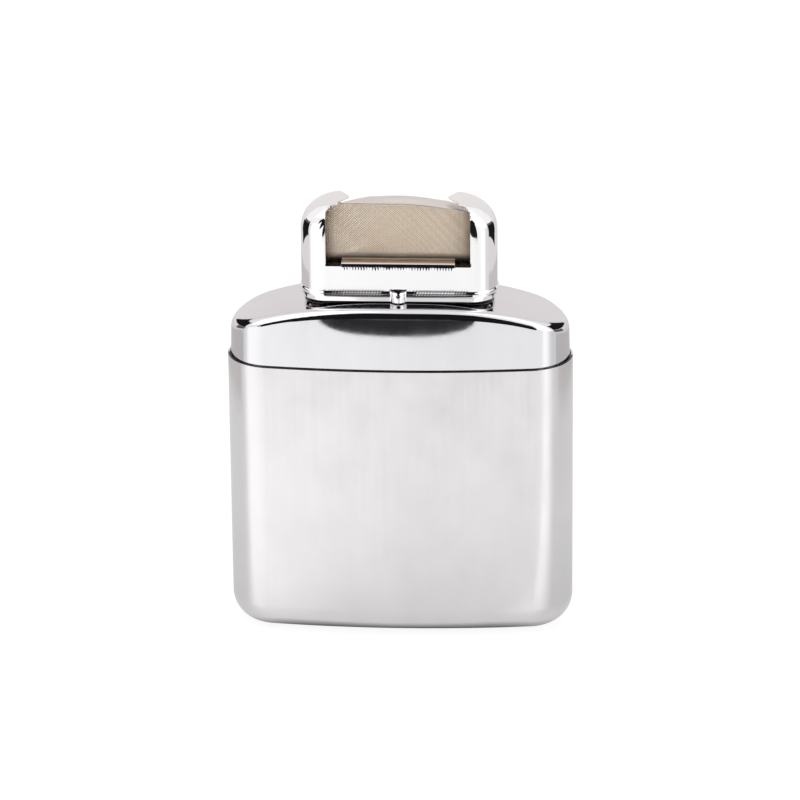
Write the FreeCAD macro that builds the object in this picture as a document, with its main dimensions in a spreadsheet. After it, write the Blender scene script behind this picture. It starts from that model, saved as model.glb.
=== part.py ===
import FreeCAD, Part
import math
import os
import Sketcher

# A pocket catalytic hand warmer without its cover: a flat flask of two soldered shells, packed
# with cotton, and a burner head that pushes over its oval neck. Millimetres, +Z up, the window
# with the lug faces -Y, and the origin is on the ground under the middle of the flask.

SIZES = [
    # flask: a lower cup, and a shoulder that laps inside it
    ("body_width", 68.0, "width of the cup"),
    ("body_thickness", 21.0, "thickness of the cup at its middle"),
    ("end_radius", 8.9, "plan radius of the cup's narrow ends"),
    ("cup_height", 57.4, "height of the cup's rim"),
    ("bottom_radius", 6.0, "rounding between the cup's walls and its floor"),
    ("sheet", 0.4, "thickness of the flask's brass sheet"),
    ("seam_gap", 0.2, "soldered gap between the cup and the shoulder's skirt"),
    ("seam_lap", 4.0, "how far the shoulder's skirt reaches into the cup"),
    ("seam_groove", 0.7, "depth of the open groove above the solder"),
    ("deck_height", 69.6, "height of the shoulder's deck at its middle"),
    ("crown_radius", 120.0, "radius of the deck's crown, seen from the front"),
    ("shoulder_draft", 1.6, "inward lean of the shoulder's wall, degrees"),
    ("deck_rounding", 1.8, "rounding between the shoulder's wall and its deck"),
    # burner head
    ("burner_width", 38.4, "width of the burner head"),
    ("burner_depth", 10.7, "depth of the burner head, front to back"),
    ("burner_corner", 5.05, "plan radius of the head's ends"),
    ("burner_height", 20.1, "height of the burner head"),
    ("rim_gap", 0.5, "gap between the head's rim and the deck"),
    ("top_corner", 6.6, "radius of the head's top corners, seen from the front"),
    ("top_edge", 3.2, "rounding along the head's top edges, seen from the side"),
    ("head_sheet", 0.45, "thickness of the head's sheet"),
    ("skirt_height", 2.3, "height of the flared skirt at the head's rim"),
    ("skirt_flare", 0.25, "how far the skirt stands out from the head"),
    ("window_width", 28.2, "width of the front and back windows"),
    ("sill_height", 7.5, "height of the window's sill above the rim"),
    ("window_chamfer", 1.6, "corner cut at the top of each window"),
    ("top_opening", 19.4, "width of the top opening at its waist"),
    ("top_nick", 0.4, "step where the window meets the top opening"),
    ("tab_width", 22.1, "width of the tab folded in at each sill"),
    ("tab_rise", 0.7, "height of the folded tab above the sill"),
    ("tab_bend", 0.9, "outer bend radius of the tab"),
    ("lug_radius", 1.5, "outer radius of the lug pressed out of the front of the skirt"),
    ("lug_reach", 1.0, "how far the lug stands out from the skirt"),
    ("lug_slit", 0.3, "height of the slit above the lug"),
    ("lug_slit_corner", 0.1, "corner radius of that slit"),
    # neck and the burner's seat on it
    ("socket_sheet", 0.4, "thickness of the socket inside the head"),
    ("socket_clear", 0.2, "height between the skirt's step and the socket"),
    ("neck_clear", 0.5, "gap all round between the socket and the neck"),
    ("plate_thickness", 0.3, "thickness of the perforated vapour plate"),
    ("plate_clear", 0.55, "gap between the vapour plate and the tabs"),
    ("neck_flange", 1.2, "width of the neck's flange under the deck"),
    ("neck_tail", 2.3, "length of neck below the crown's inside"),
    ("solder_width", 0.7, "width of the solder fillet round the neck"),
    ("solder_height", 0.6, "height of that fillet above the middle of the deck"),
    ("solder_slope", 0.49, "chamfer along that fillet's top edge"),
    ("mouth_depth", 6.0, "depth of the neck's mouth above its grille"),
    ("grille_thickness", 0.4, "thickness of the neck's grille"),
    ("hole_radius", 0.6, "radius of the perforations"),
    ("hole_pitch", 2.3, "pitch of the perforations"),
    ("nib_radius", 0.9, "radius of the locating nib on the neck"),
    ("nib_height", 1.8, "height of the locating nib"),
    # catalyst
    ("gauze_depth", 4.4, "depth of the gauze wrap, front to back"),
    ("gauze_sheet", 0.25, "thickness of the gauze"),
    ("gauze_edge", 0.7, "rounding along the gauze's top edges"),
    ("gauze_clear", 0.05, "gap between the gauze and the inside of the head's top"),
    ("gauze_end_gap", 1.06, "gap between the gauze and the inside of the head's ends"),
    ("pad_clear", 0.05, "gap between the pad and the gauze"),
    # grip springs
    ("spring_length", 22.0, "length of each grip spring"),
    ("spring_foot", 3.0, "length of the flat foot at each end of a spring"),
    ("spring_bow", 5.4, "length of the flat middle of a spring's bow"),
    ("spring_height", 2.6, "height of each grip spring"),
    ("spring_sheet", 0.15, "thickness of each grip spring"),
    ("spring_clear", 0.05, "gap between a spring's bow and the neck"),
    ("rivet_radius", 0.4, "radius of a spring rivet's shank"),
    ("rivet_head", 0.8, "radius of a spring rivet's head"),
    ("rivet_head_thickness", 0.15, "thickness of a spring rivet's head"),
    # filling
    ("soft_clear", 0.3, "gap round the cotton"),
    ("felt_clear", 0.1, "gap round the wick felt"),
    ("cotton_drop", 3.0, "space between the cotton and the inside of the deck"),
]

# Places that follow from the sizes.
DERIVED = {
    "shoulder_inset": "sizes.sheet + sizes.seam_gap",
    "rim": "sizes.deck_height + sizes.rim_gap",
    "head_top": "sizes.deck_height + sizes.rim_gap + sizes.burner_height",
    "skirt_top": "sizes.deck_height + sizes.rim_gap + sizes.skirt_height",
    "sill": "sizes.deck_height + sizes.rim_gap + sizes.sill_height",
}
DERIVED["tab_top"] = DERIVED["sill"] + " + sizes.tab_rise"
DERIVED["plate_top"] = DERIVED["tab_top"] + " - sizes.head_sheet - sizes.plate_clear"
DERIVED["neck_top"] = DERIVED["plate_top"] + " - sizes.plate_thickness"
DERIVED["grille_top"] = DERIVED["neck_top"] + " - sizes.mouth_depth"
DERIVED["socket_bottom"] = DERIVED["skirt_top"] + " + sizes.socket_clear"
DERIVED["socket_outside"] = "sizes.head_sheet"
DERIVED["socket_inside"] = "sizes.head_sheet + sizes.socket_sheet"
DERIVED["neck_outside"] = DERIVED["socket_inside"] + " + sizes.neck_clear"
DERIVED["neck_inside"] = DERIVED["neck_outside"] + " + sizes.sheet"
DERIVED["crown_centre"] = "sizes.deck_height - sizes.crown_radius"
DERIVED["gauze_top"] = DERIVED["head_top"] + " - sizes.head_sheet - sizes.gauze_clear"
DERIVED["neck_face"] = f"sizes.burner_depth / 2 - ({DERIVED['neck_outside']})"
DERIVED["socket_face"] = f"sizes.burner_depth / 2 - ({DERIVED['socket_inside']})"

Vector = FreeCAD.Vector
FAR = 100.0         # reaches past every piece
PAST = 1.0          # how far a cutting form reaches past what it cuts
SAME = 1e-4         # edges this near to a place lie in it
DOME_LEVELS = 7     # levels that the head's domed top is lofted through
LEAST_FLAT = 0.02   # half the shortest straight left between two round corners

doc = FreeCAD.newDocument("hand_warmer")
sheet = doc.addObject("Spreadsheet::Sheet", "sizes")
for row, (alias, number, meaning) in enumerate(SIZES, start=1):
    sheet.set(f"A{row}", meaning)
    sheet.set(f"B{row}", str(number))
    sheet.setAlias(f"B{row}", alias)
doc.recompute()


def place(name):
    """The formula of a derived place, in brackets."""
    return f"({DERIVED[name]})"


def value(formula):
    """What a formula of the sheet's sizes comes to now."""
    return float(sheet.evalExpression(formula))


# ---------------------------------------------------------------- sketches

def new_body(label):
    body = doc.addObject("PartDesign::Body", label)
    body.Label = label
    return body


def new_sketch(body, name, role="XY_Plane", lift="0"):
    """A sketch on one of the body's own origin planes, lifted along that plane's normal."""
    sketch = body.newObject("Sketcher::SketchObject", name)
    plane = next(f for f in body.Origin.OriginFeatures if f.Role == role)
    sketch.AttachmentSupport = [(plane, "")]
    sketch.MapMode = "FlatFace"
    if lift != "0":
        sketch.setExpression("AttachmentOffset.Base.z", lift)
    return sketch


def fix(sketch, name, formula, kind, *where):
    """A dimension of the sketch, bound to a formula of the sheet's sizes."""
    index = sketch.addConstraint(Sketcher.Constraint(kind, *where, value(formula)))
    sketch.renameConstraint(index, name)
    sketch.setExpression(f"Constraints.{name}", formula)


def arc(centre_x, centre_y, radius, start, end):
    circle = Part.Circle(Vector(centre_x, centre_y, 0), Vector(0, 0, 1), radius)
    return Part.ArcOfCircle(circle, start, end)


def line(start, end):
    return Part.LineSegment(Vector(*start, 0), Vector(*end, 0))


def flask_outline(body, name, inset, lift="0"):
    """The flask's plan, four tangent arcs, brought in by a formula."""
    inset = f"({inset})"
    centre_x = "(sizes.body_width / 2 - sizes.end_radius)"
    half = "(sizes.body_thickness / 2)"
    bulge = (f"(({centre_x}^2 + {half}^2 - sizes.end_radius^2)"
             f" / (2 * ({half} - sizes.end_radius)) - {half})")
    x, k = value(centre_x), value(bulge)
    end, face = value(f"sizes.end_radius - {inset}"), value(f"{bulge} + {half} - {inset}")
    turn = math.atan2(k, x)
    sketch = new_sketch(body, name, lift=lift)
    sketch.addGeometry(arc(x, 0, end, -turn, turn))
    sketch.addGeometry(arc(0, -k, face, turn, math.pi - turn))
    sketch.addGeometry(arc(-x, 0, end, math.pi - turn, math.pi + turn))
    sketch.addGeometry(arc(0, k, face, math.pi + turn, 2 * math.pi - turn))
    for index in range(4):
        sketch.addConstraint(Sketcher.Constraint("Tangent", index, 2, (index + 1) % 4, 1))
    sketch.addConstraint(Sketcher.Constraint("PointOnObject", 0, 3, -1))
    sketch.addConstraint(Sketcher.Constraint("Symmetric", 0, 3, 2, 3, -2))
    sketch.addConstraint(Sketcher.Constraint("Equal", 0, 2))
    sketch.addConstraint(Sketcher.Constraint("Equal", 1, 3))
    fix(sketch, "end_arc", f"sizes.end_radius - {inset}", "Radius", 0)
    fix(sketch, "end_centre", centre_x, "DistanceX", -1, 1, 0, 3)
    fix(sketch, "face_centre", bulge, "DistanceY", 1, 3, -1, 1)
    return sketch


def rounded_box(body, name, half_x, half_y, radius, role="XY_Plane", lift="0"):
    """A rectangle about the plane's origin with four equal round corners."""
    centre_x, centre_y = f"({half_x}) - ({radius})", f"({half_y}) - ({radius})"
    x, y, r = value(centre_x), value(centre_y), value(radius)
    sketch = new_sketch(body, name, role, lift)
    corners = [(x, y), (-x, y), (-x, -y), (x, -y)]
    quarter = math.pi / 2
    for index, (cx, cy) in enumerate(corners):
        sketch.addGeometry(arc(cx, cy, r, index * quarter, (index + 1) * quarter))
    for index, (cx, cy) in enumerate(corners):
        dx, dy = r * math.cos((index + 1) * quarter), r * math.sin((index + 1) * quarter)
        nx, ny = corners[(index + 1) % 4]
        sketch.addGeometry(line((cx + dx, cy + dy), (nx + dx, ny + dy)))
    for index in range(4):
        sketch.addConstraint(Sketcher.Constraint("Tangent", index, 2, 4 + index, 1))
        sketch.addConstraint(Sketcher.Constraint("Tangent", 4 + index, 2, (index + 1) % 4, 1))
    for index in range(1, 4):
        sketch.addConstraint(Sketcher.Constraint("Equal", 0, index))
    sketch.addConstraint(Sketcher.Constraint("Symmetric", 0, 3, 1, 3, -2))
    sketch.addConstraint(Sketcher.Constraint("Symmetric", 0, 3, 3, 3, -1))
    sketch.addConstraint(Sketcher.Constraint("Symmetric", 0, 3, 2, 3, -1, 1))
    fix(sketch, "corner", radius, "Radius", 0)
    fix(sketch, "centre_x", centre_x, "DistanceX", -1, 1, 0, 3)
    fix(sketch, "centre_y", centre_y, "DistanceY", -1, 1, 0, 3)
    return sketch


def head_outline(body, name, inset, lift="0"):
    """The burner head's plan, brought in by a formula."""
    return rounded_box(body, name, f"sizes.burner_width / 2 - ({inset})",
                       f"sizes.burner_depth / 2 - ({inset})", f"sizes.burner_corner - ({inset})",
                       lift=lift)


def polygon(body, name, corners, role="XY_Plane", lift="0"):
    """A closed run of lines; each corner is a pair of formulas."""
    points = [(value(x), value(y)) for x, y in corners]
    sketch = new_sketch(body, name, role, lift)
    count = len(points)
    for index in range(count):
        sketch.addGeometry(line(points[index], points[(index + 1) % count]))
    for index in range(count):
        follows = (index + 1) % count
        sketch.addConstraint(Sketcher.Constraint("Coincident", index, 2, follows, 1))
    for index, (x, y) in enumerate(corners):
        for axis, formula, at in (("X", x, points[index][0]), ("Y", y, points[index][1])):
            if at < 0:
                fix(sketch, f"corner_{axis}{index}", f"-({formula})", f"Distance{axis}",
                    index, 1, -1, 1)
            else:
                fix(sketch, f"corner_{axis}{index}", formula, f"Distance{axis}",
                    -1, 1, index, 1)
    return sketch


def circles(body, name, centres, radius, role="XY_Plane", lift="0"):
    """Equal circles; each centre is a pair of formulas."""
    sketch = new_sketch(body, name, role, lift)
    for index, (x, y) in enumerate(centres):
        centre = Vector(value(x), value(y), 0)
        sketch.addGeometry(Part.Circle(centre, Vector(0, 0, 1), value(radius)))
        for axis, formula, at in (("X", x, centre.x), ("Y", y, centre.y)):
            if at < 0:
                fix(sketch, f"centre_{axis}{index}", f"-({formula})", f"Distance{axis}",
                    index, 3, -1, 1)
            else:
                fix(sketch, f"centre_{axis}{index}", formula, f"Distance{axis}",
                    -1, 1, index, 3)
        if index == 0:
            fix(sketch, "radius", radius, "Radius", 0)
        else:
            sketch.addConstraint(Sketcher.Constraint("Equal", 0, index))
    return sketch


def crown_profile(body, name, drop, above):
    """Front profile bounded by the crown's arc, brought down by a formula, and by a far edge."""
    centre, radius = place("crown_centre"), f"sizes.crown_radius - ({drop})"
    reach = "sizes.body_width"
    z, r, half = value(centre), value(radius), value(reach)
    swing = math.asin(half / r)
    edge = z + r * math.cos(swing)
    far = value("sizes.deck_height") + (FAR if above else -FAR)
    sketch = new_sketch(body, name, "XZ_Plane")
    sketch.addGeometry(arc(0, z, r, math.pi / 2 - swing, math.pi / 2 + swing))
    sketch.addGeometry(line((-half, edge), (-half, far)))
    sketch.addGeometry(line((-half, far), (half, far)))
    sketch.addGeometry(line((half, far), (half, edge)))
    for start, end in (((0, 2), (1, 1)), ((1, 2), (2, 1)), ((2, 2), (3, 1)), ((3, 2), (0, 1))):
        sketch.addConstraint(Sketcher.Constraint("Coincident", *start, *end))
    for side in (1, 3):
        sketch.addConstraint(Sketcher.Constraint("Vertical", side))
    sketch.addConstraint(Sketcher.Constraint("PointOnObject", 0, 3, -2))
    fix(sketch, "radius", radius, "Radius", 0)
    fix(sketch, "depth", f"-{centre}", "DistanceY", 0, 3, -1, 1)
    fix(sketch, "reach", reach, "DistanceX", -1, 1, 3, 1)
    sketch.addConstraint(Sketcher.Constraint("Symmetric", 1, 2, 3, 1, -2))
    if above:
        fix(sketch, "far", f"sizes.deck_height + {FAR}", "DistanceY", -1, 1, 3, 1)
    else:
        fix(sketch, "far", f"{FAR} - sizes.deck_height", "DistanceY", 3, 1, -1, 1)
    return sketch


# ---------------------------------------------------------------- features

def settled(profile):
    """The sketch, once its constraints agree."""
    if profile.solve() != 0:
        raise RuntimeError(f"{profile.Name} can't be solved")
    return profile


def pad(body, name, profile, length, midplane=False, taper=None):
    feature = body.newObject("PartDesign::Pad", name)
    feature.Profile = settled(profile)
    feature.Midplane = midplane
    feature.setExpression("Length", length)
    if taper:
        feature.setExpression("TaperAngle", f"-({taper})")
    doc.recompute()
    return feature


def pocket(body, name, profile, length=None, midplane=False, upwards=False):
    """Cuts along the sketch's normal: right through, or to a formula's depth."""
    before = body.Shape.Volume
    feature = body.newObject("PartDesign::Pocket", name)
    feature.Profile = settled(profile)
    feature.Midplane = midplane
    feature.Reversed = upwards
    if length:
        feature.setExpression("Length", length)
    else:
        feature.Type = "ThroughAll"
    doc.recompute()
    if not feature.Shape.Volume < before:
        raise RuntimeError(f"{body.Label}: {name} cuts nothing")
    return feature


def fillet(body, name, base, radius, wanted):
    """Rounds the edges of base that pass the test."""
    feature = body.newObject("PartDesign::Fillet", name)
    feature.Base = (base, edges_of(base, wanted))
    feature.setExpression("Radius", radius)
    doc.recompute()
    return feature


def at_height(z):
    """Test for the edges that lie at one height."""
    def test(edge):
        box = edge.BoundBox
        return abs(box.ZMin - z) < SAME and abs(box.ZMax - z) < SAME
    return test


def edges_of(base, wanted):
    """The names of base's edges that pass the test."""
    return [f"Edge{i}" for i, edge in enumerate(base.Shape.Edges, 1) if wanted(edge)]


def combine(kind, label, base, tool):
    """A Part boolean of two objects, under its own label."""
    feature = doc.addObject(f"Part::{kind}", label)
    feature.Base = base
    feature.Tool = tool
    feature.Label = label
    doc.recompute()
    return feature


def perforate(body, name, inset, thickness, lift):
    """Rows of holes through a plate of the head's plan, as many as its size takes."""
    margin = f"({inset}) + 2 * sizes.hole_radius"
    rows = int(value(f"floor((sizes.burner_depth / 2 - ({margin})) / sizes.hole_pitch)"))
    columns = int(value(f"floor((sizes.burner_width / 2 - ({margin})) / sizes.hole_pitch)"))
    first = f"-({columns} * sizes.hole_pitch)"
    centres = [(first, f"{row} * sizes.hole_pitch") for row in range(-rows, rows + 1)]
    column = circles(body, f"{name}_column", centres, "sizes.hole_radius", lift=lift)
    holes = pocket(body, f"{name}_holes", column, thickness, upwards=True)
    pattern = body.newObject("PartDesign::LinearPattern", f"{name}_rows")
    pattern.Originals = [holes]
    pattern.Direction = (column, ["H_Axis"])
    pattern.setExpression("Length", f"{2 * columns} * sizes.hole_pitch")
    pattern.Occurrences = 2 * columns + 1
    body.Tip = pattern
    doc.recompute()
    return pattern


# ---------------------------------------------------------------- flask

def flask_form(label, inset, bottom, top_drop, wall_base, rounding):
    """The shoulder's solid form: a straight skirt, a leaning wall and a crowned, rounded deck."""
    body = new_body(label)
    skirt = flask_outline(body, f"{label}_skirt_outline", inset, lift=bottom)
    pad(body, f"{label}_skirt", skirt, f"({wall_base}) - ({bottom})")
    wall = flask_outline(body, f"{label}_wall_outline", inset, lift=wall_base)
    pad(body, f"{label}_wall", wall, f"sizes.deck_height + {PAST} - ({wall_base})",
        taper="sizes.shoulder_draft")
    crown = crown_profile(body, f"{label}_crown_arc", top_drop, above=True)
    cut = pocket(body, f"{label}_crown", crown, midplane=True)
    low = value("sizes.cup_height") + PAST
    fillet(body, f"{label}_rounding", cut, rounding, lambda edge: edge.BoundBox.ZMin > low)
    return body


def cup_form(label, inset, top):
    """The cup's solid form: straight walls and a rounded bottom, brought in by a formula."""
    body = new_body(label)
    outline = flask_outline(body, f"{label}_outline", inset, lift=inset)
    walls = pad(body, f"{label}_walls", outline, f"{top} - ({inset})")
    fillet(body, f"{label}_bottom", walls, f"sizes.bottom_radius - ({inset})",
           at_height(value(inset)))
    return body


def tank_cup():
    """The drawn cup: one wall thickness all over, open at its rim."""
    outer = cup_form("cup_form", "0", "sizes.cup_height")
    inner = cup_form("cup_core", "sizes.sheet", f"sizes.cup_height + {PAST}")
    return combine("Cut", "tank_cup", outer, inner)


def shoulder_shell():
    """The drawn shoulder: a form and the same form brought in by the sheet, and the neck's hole."""
    wall_base = "sizes.cup_height"
    bottom = "sizes.cup_height - sizes.seam_lap"
    outer = flask_form("shoulder_form", place("shoulder_inset"), bottom, "0", wall_base,
                       "sizes.deck_rounding")
    inner = flask_form("shoulder_core", f"{place('shoulder_inset')} + sizes.sheet", bottom,
                       "sizes.sheet", wall_base, "sizes.deck_rounding - sizes.sheet")
    skin = combine("Cut", "shoulder_skin", outer, inner)
    hole = new_body("neck_hole")
    outline = head_outline(hole, "neck_hole_outline", place("neck_outside"),
                           lift="sizes.cup_height")
    pad(hole, "neck_hole_depth", outline, "sizes.deck_height")
    return combine("Cut", "shoulder_shell", skin, hole), outer


def seam_solder():
    """Solder between the cup's inside and the shoulder's skirt, short of the rim."""
    body = new_body("seam_solder")
    bottom = "sizes.cup_height - sizes.seam_lap"
    outline = flask_outline(body, "solder_outside", "sizes.sheet", lift=bottom)
    pad(body, "solder_ring", outline, "sizes.seam_lap - sizes.seam_groove")
    inside = flask_outline(body, "solder_inside", place("shoulder_inset"), lift=bottom)
    pocket(body, "solder_bore", inside, "sizes.seam_lap", upwards=True)
    return body


# ---------------------------------------------------------------- neck

def neck_collar():
    """The oval neck: a crowned flange under the deck, a straight tube and a locating nib."""
    body = new_body("neck_collar")
    outside, inside = place("neck_outside"), place("neck_inside")
    tail = f"{place('crown_centre')} + sizes.crown_radius - sizes.sheet - sizes.neck_tail"
    flange = head_outline(body, "flange_outline", f"{outside} - sizes.neck_flange",
                          lift="sizes.cup_height")
    pad(body, "flange_block", flange, "sizes.deck_height - sizes.cup_height")
    above = crown_profile(body, "flange_top_arc", "sizes.sheet", above=True)
    pocket(body, "flange_top", above, midplane=True)
    below = crown_profile(body, "flange_bottom_arc", "2 * sizes.sheet", above=False)
    pocket(body, "flange_bottom", below, midplane=True)
    tube = head_outline(body, "tube_outline", outside, lift=tail)
    pad(body, "tube", tube, f"{place('neck_top')} - ({tail})")
    nib_bottom = "(sizes.deck_height + sizes.solder_height)"
    centre = [("0", f"-({place('neck_face')} + sizes.nib_radius / 2)")]
    nib = circles(body, "nib_outline", centre, "sizes.nib_radius", lift=nib_bottom)
    pad(body, "nib", nib, "sizes.nib_height")
    bore = head_outline(body, "tube_bore_outline", inside, lift="sizes.cup_height")
    pocket(body, "tube_bore", bore, "sizes.deck_height", upwards=True)
    return body


def neck_solder(shoulder_form):
    """A chamfered solder fillet between the neck and the crowned deck."""
    body = new_body("neck_solder_ring")
    outside = place("neck_outside")
    outline = head_outline(body, "fillet_outline", f"{outside} - sizes.solder_width",
                           lift="sizes.cup_height")
    top = "(sizes.deck_height + sizes.solder_height)"
    block = pad(body, "fillet_block", outline, f"{top} - sizes.cup_height")
    slope = body.newObject("PartDesign::Chamfer", "fillet_slope")
    slope.Base = (block, edges_of(block, at_height(value(top))))
    slope.setExpression("Size", "sizes.solder_slope")
    doc.recompute()
    bore = head_outline(body, "fillet_bore_outline", outside, lift="sizes.cup_height")
    pocket(body, "fillet_bore", bore, "sizes.deck_height", upwards=True)
    return combine("Cut", "neck_solder", body, shoulder_form)


def neck_grille():
    """The perforated plate across the neck that keeps the filling in."""
    body = new_body("neck_grille")
    lift = f"{place('grille_top')} - sizes.grille_thickness"
    outline = head_outline(body, "grille_outline", place("neck_inside"), lift=lift)
    pad(body, "grille_plate", outline, "sizes.grille_thickness")
    perforate(body, "grille", DERIVED["neck_inside"], "sizes.grille_thickness", lift)
    return body


def cotton_fill():
    """The cotton that soaks up the fuel, as one soft block of the flask's inside."""
    body = new_body("cotton_fill")
    inset = f"({place('shoulder_inset')} + sizes.sheet + sizes.soft_clear)"
    bottom = "sizes.sheet + sizes.soft_clear"
    outline = flask_outline(body, "cotton_outline", inset, lift=bottom)
    block = pad(body, "cotton_block", outline, f"sizes.deck_height - ({bottom})")
    fillet(body, "cotton_bottom", block, f"sizes.bottom_radius - {inset}",
           at_height(value(bottom)))
    crown = crown_profile(body, "cotton_arc", "sizes.sheet + sizes.cotton_drop", above=True)
    pocket(body, "cotton_top", crown, midplane=True)
    return body


def wick_felt(cotton):
    """The felt under the grille, which draws the fuel up out of the cotton."""
    body = new_body("wick_block")
    inset = f"{place('neck_inside')} + sizes.felt_clear"
    bottom = "sizes.cup_height"
    outline = head_outline(body, "wick_outline", inset, lift=bottom)
    pad(body, "wick_pad", outline,
        f"{place('grille_top')} - sizes.grille_thickness - {bottom}")
    return combine("Cut", "wick_felt", body, cotton)


# ---------------------------------------------------------------- burner head

def head_section(body, name, turn, inset):
    """One level of the domed top: the plan at the height where the corner has turned by turn."""
    corner = f"(sizes.top_corner - ({inset}))"
    edge = f"(sizes.top_edge - ({inset}))"
    drop = f"({corner} * {1 - math.sin(turn):.9f})"
    lift = f"{place('head_top')} - ({inset}) - {drop}"
    half_x = f"(sizes.burner_width / 2 - ({inset}) - {corner} * {1 - math.cos(turn):.9f})"
    sink = f"({edge} - sqrt({edge}^2 - max({edge} - {drop}; 0)^2))"
    half_y = f"(sizes.burner_depth / 2 - ({inset}) - {sink})"
    radius = (f"min(sizes.burner_corner - ({inset}); {half_x} - {LEAST_FLAT};"
              f" {half_y} - {LEAST_FLAT})")
    return rounded_box(body, name, half_x, half_y, radius, lift=lift)


def head_form(label, inset, bottom):
    """The head's solid form: straight walls with a domed top lofted through its levels."""
    body = new_body(label)
    straight = f"{place('head_top')} - ({inset}) - (sizes.top_corner - ({inset}))"
    outline = head_outline(body, f"{label}_outline", inset, lift=bottom)
    pad(body, f"{label}_walls", outline, f"{straight} - ({bottom})")
    quarter = math.pi / 2
    sections = [head_section(body, f"{label}_level{i}", quarter * i / DOME_LEVELS, inset)
                for i in range(DOME_LEVELS + 1)]
    dome = body.newObject("PartDesign::AdditiveLoft", f"{label}_dome")
    dome.Profile = sections[0]
    dome.Sections = sections[1:]
    dome.Ruled = False
    doc.recompute()
    return body


def window_tools():
    """What is cut out of the head: a window at the front and back, and a waisted top opening."""
    half, corner = "(sizes.window_width / 2)", "sizes.window_chamfer"
    top = f"({place('head_top')} - {corner})"
    above = f"({place('head_top')} + {PAST})"
    shoulder = f"({half} - {corner})"
    corners = [(half, DERIVED["sill"]), (half, top), (shoulder, place("head_top")),
               (shoulder, above)]
    corners += [(f"-{x}", z) for x, z in reversed(corners)]
    wall = "(sizes.burner_depth / 2 - sizes.top_edge / 2)"
    tools = []
    for side, sign in (("front", ""), ("back", "-")):
        body = new_body(f"{side}_window")
        outline = polygon(body, f"{side}_window_outline", corners, "XZ_Plane",
                          lift=f"{sign}{wall}")
        window = pad(body, f"{side}_window_depth", outline, "sizes.burner_depth")
        window.Reversed = bool(sign)
        tools.append(body)
    waist, edge = "(sizes.top_opening / 2)", f"({shoulder} - sizes.top_nick)"
    front = "sizes.burner_depth"
    right = [(edge, front), (edge, wall), (waist, "0"), (edge, f"-{wall}"), (edge, f"-{front}")]
    left = [(f"-{x}", y) for x, y in reversed(right)]
    body = new_body("top_opening")
    outline = polygon(body, "top_opening_outline", right + left,
                      lift=f"{place('head_top')} - sizes.top_edge")
    pad(body, "top_opening_depth", outline, f"sizes.top_edge + {PAST}")
    tools.append(body)
    doc.recompute()
    return tools


def tabs():
    """The tab folded in at each sill: an upright, a bend and a flat that steadies the gauze."""
    bodies = []
    face = "(sizes.burner_depth / 2)"
    reach = "(sizes.gauze_depth / 2)"
    sheet_in = f"({face} - sizes.head_sheet)"
    bend, top = "sizes.tab_bend", place("tab_top")
    root = f"({place('sill')} - sizes.head_sheet)"
    for side, sign in (("front", "-"), ("back", "")):
        body = new_body(f"{side}_tab")
        corners = [(f"{sign}{face}", root), (f"{sign}{face}", top), (f"{sign}{reach}", top),
                   (f"{sign}{reach}", f"({top} - sizes.head_sheet)"),
                   (f"{sign}{sheet_in}", f"({top} - sizes.head_sheet)"),
                   (f"{sign}{sheet_in}", root)]
        outline = polygon(body, f"{side}_tab_outline", corners, "YZ_Plane")
        strip = pad(body, f"{side}_tab_strip", outline, "sizes.tab_width", midplane=True)
        y, z = value(f"{sign}{face}"), value(top)
        inner_y, inner_z = value(f"{sign}{sheet_in}"), value(f"{top} - sizes.head_sheet")

        def along(edge, at_y, at_z):
            centre = edge.CenterOfMass
            return abs(centre.y - at_y) < SAME and abs(centre.z - at_z) < SAME

        outer = fillet(body, f"{side}_tab_bend", strip, bend, lambda e: along(e, y, z))
        fillet(body, f"{side}_tab_inside", outer, f"{bend} - sizes.head_sheet",
               lambda e: along(e, inner_y, inner_z))
        bodies.append(body)
    return bodies


def skirt_form(label, inset):
    """The flared skirt and the half-round lug at its front, brought in by a formula."""
    body = new_body(label)
    outline = head_outline(body, f"{label}_outline", f"{inset} - sizes.skirt_flare",
                           lift=place("rim"))
    pad(body, f"{label}_ring", outline, "sizes.skirt_height")
    radius = f"(sizes.lug_radius - ({inset}))"
    centre = "-(sizes.burner_depth / 2 + sizes.skirt_flare + sizes.lug_reach - sizes.lug_radius)"
    lug = circles(body, f"{label}_lug_outline", [("0", centre)], radius, lift=place("rim"))
    pad(body, f"{label}_lug", lug, "sizes.skirt_height")
    return body


def burner_shell():
    """The chromed head: dome, windows, folded tabs, flared skirt and lug in one sheet."""
    skirt = skirt_form("skirt_form", "0")
    outer = combine("Fuse", "head_outside", head_form("head_form", "0", place("rim")), skirt)
    core = head_form("head_core", "sizes.head_sheet", place("rim"))
    inner = combine("Fuse", "head_inside", core, skirt_form("skirt_core", "sizes.head_sheet"))
    shell = combine("Cut", "head_skin", outer, inner)
    for tool in window_tools():
        shell = combine("Cut", f"head_after_{tool.Label}", shell, tool)
    slit = new_body("lug_slit")
    outline = rounded_box(slit, "lug_slit_outline", "sizes.lug_radius", "sizes.lug_slit / 2",
                          "sizes.lug_slit_corner", "XZ_Plane",
                          lift=f"(sizes.burner_depth / 2 - sizes.head_sheet - {PAST})")
    pad(slit, "lug_slit_depth", outline, "sizes.burner_depth")
    slit.setExpression("Placement.Base.z", f"{place('skirt_top')} + sizes.lug_slit / 2")
    shell = combine("Cut", "head_slit", shell, slit)
    for tab in tabs():
        shell = combine("Fuse", f"head_with_{tab.Label}", shell, tab)
    shell.Label = "burner_shell"
    return shell


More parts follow.
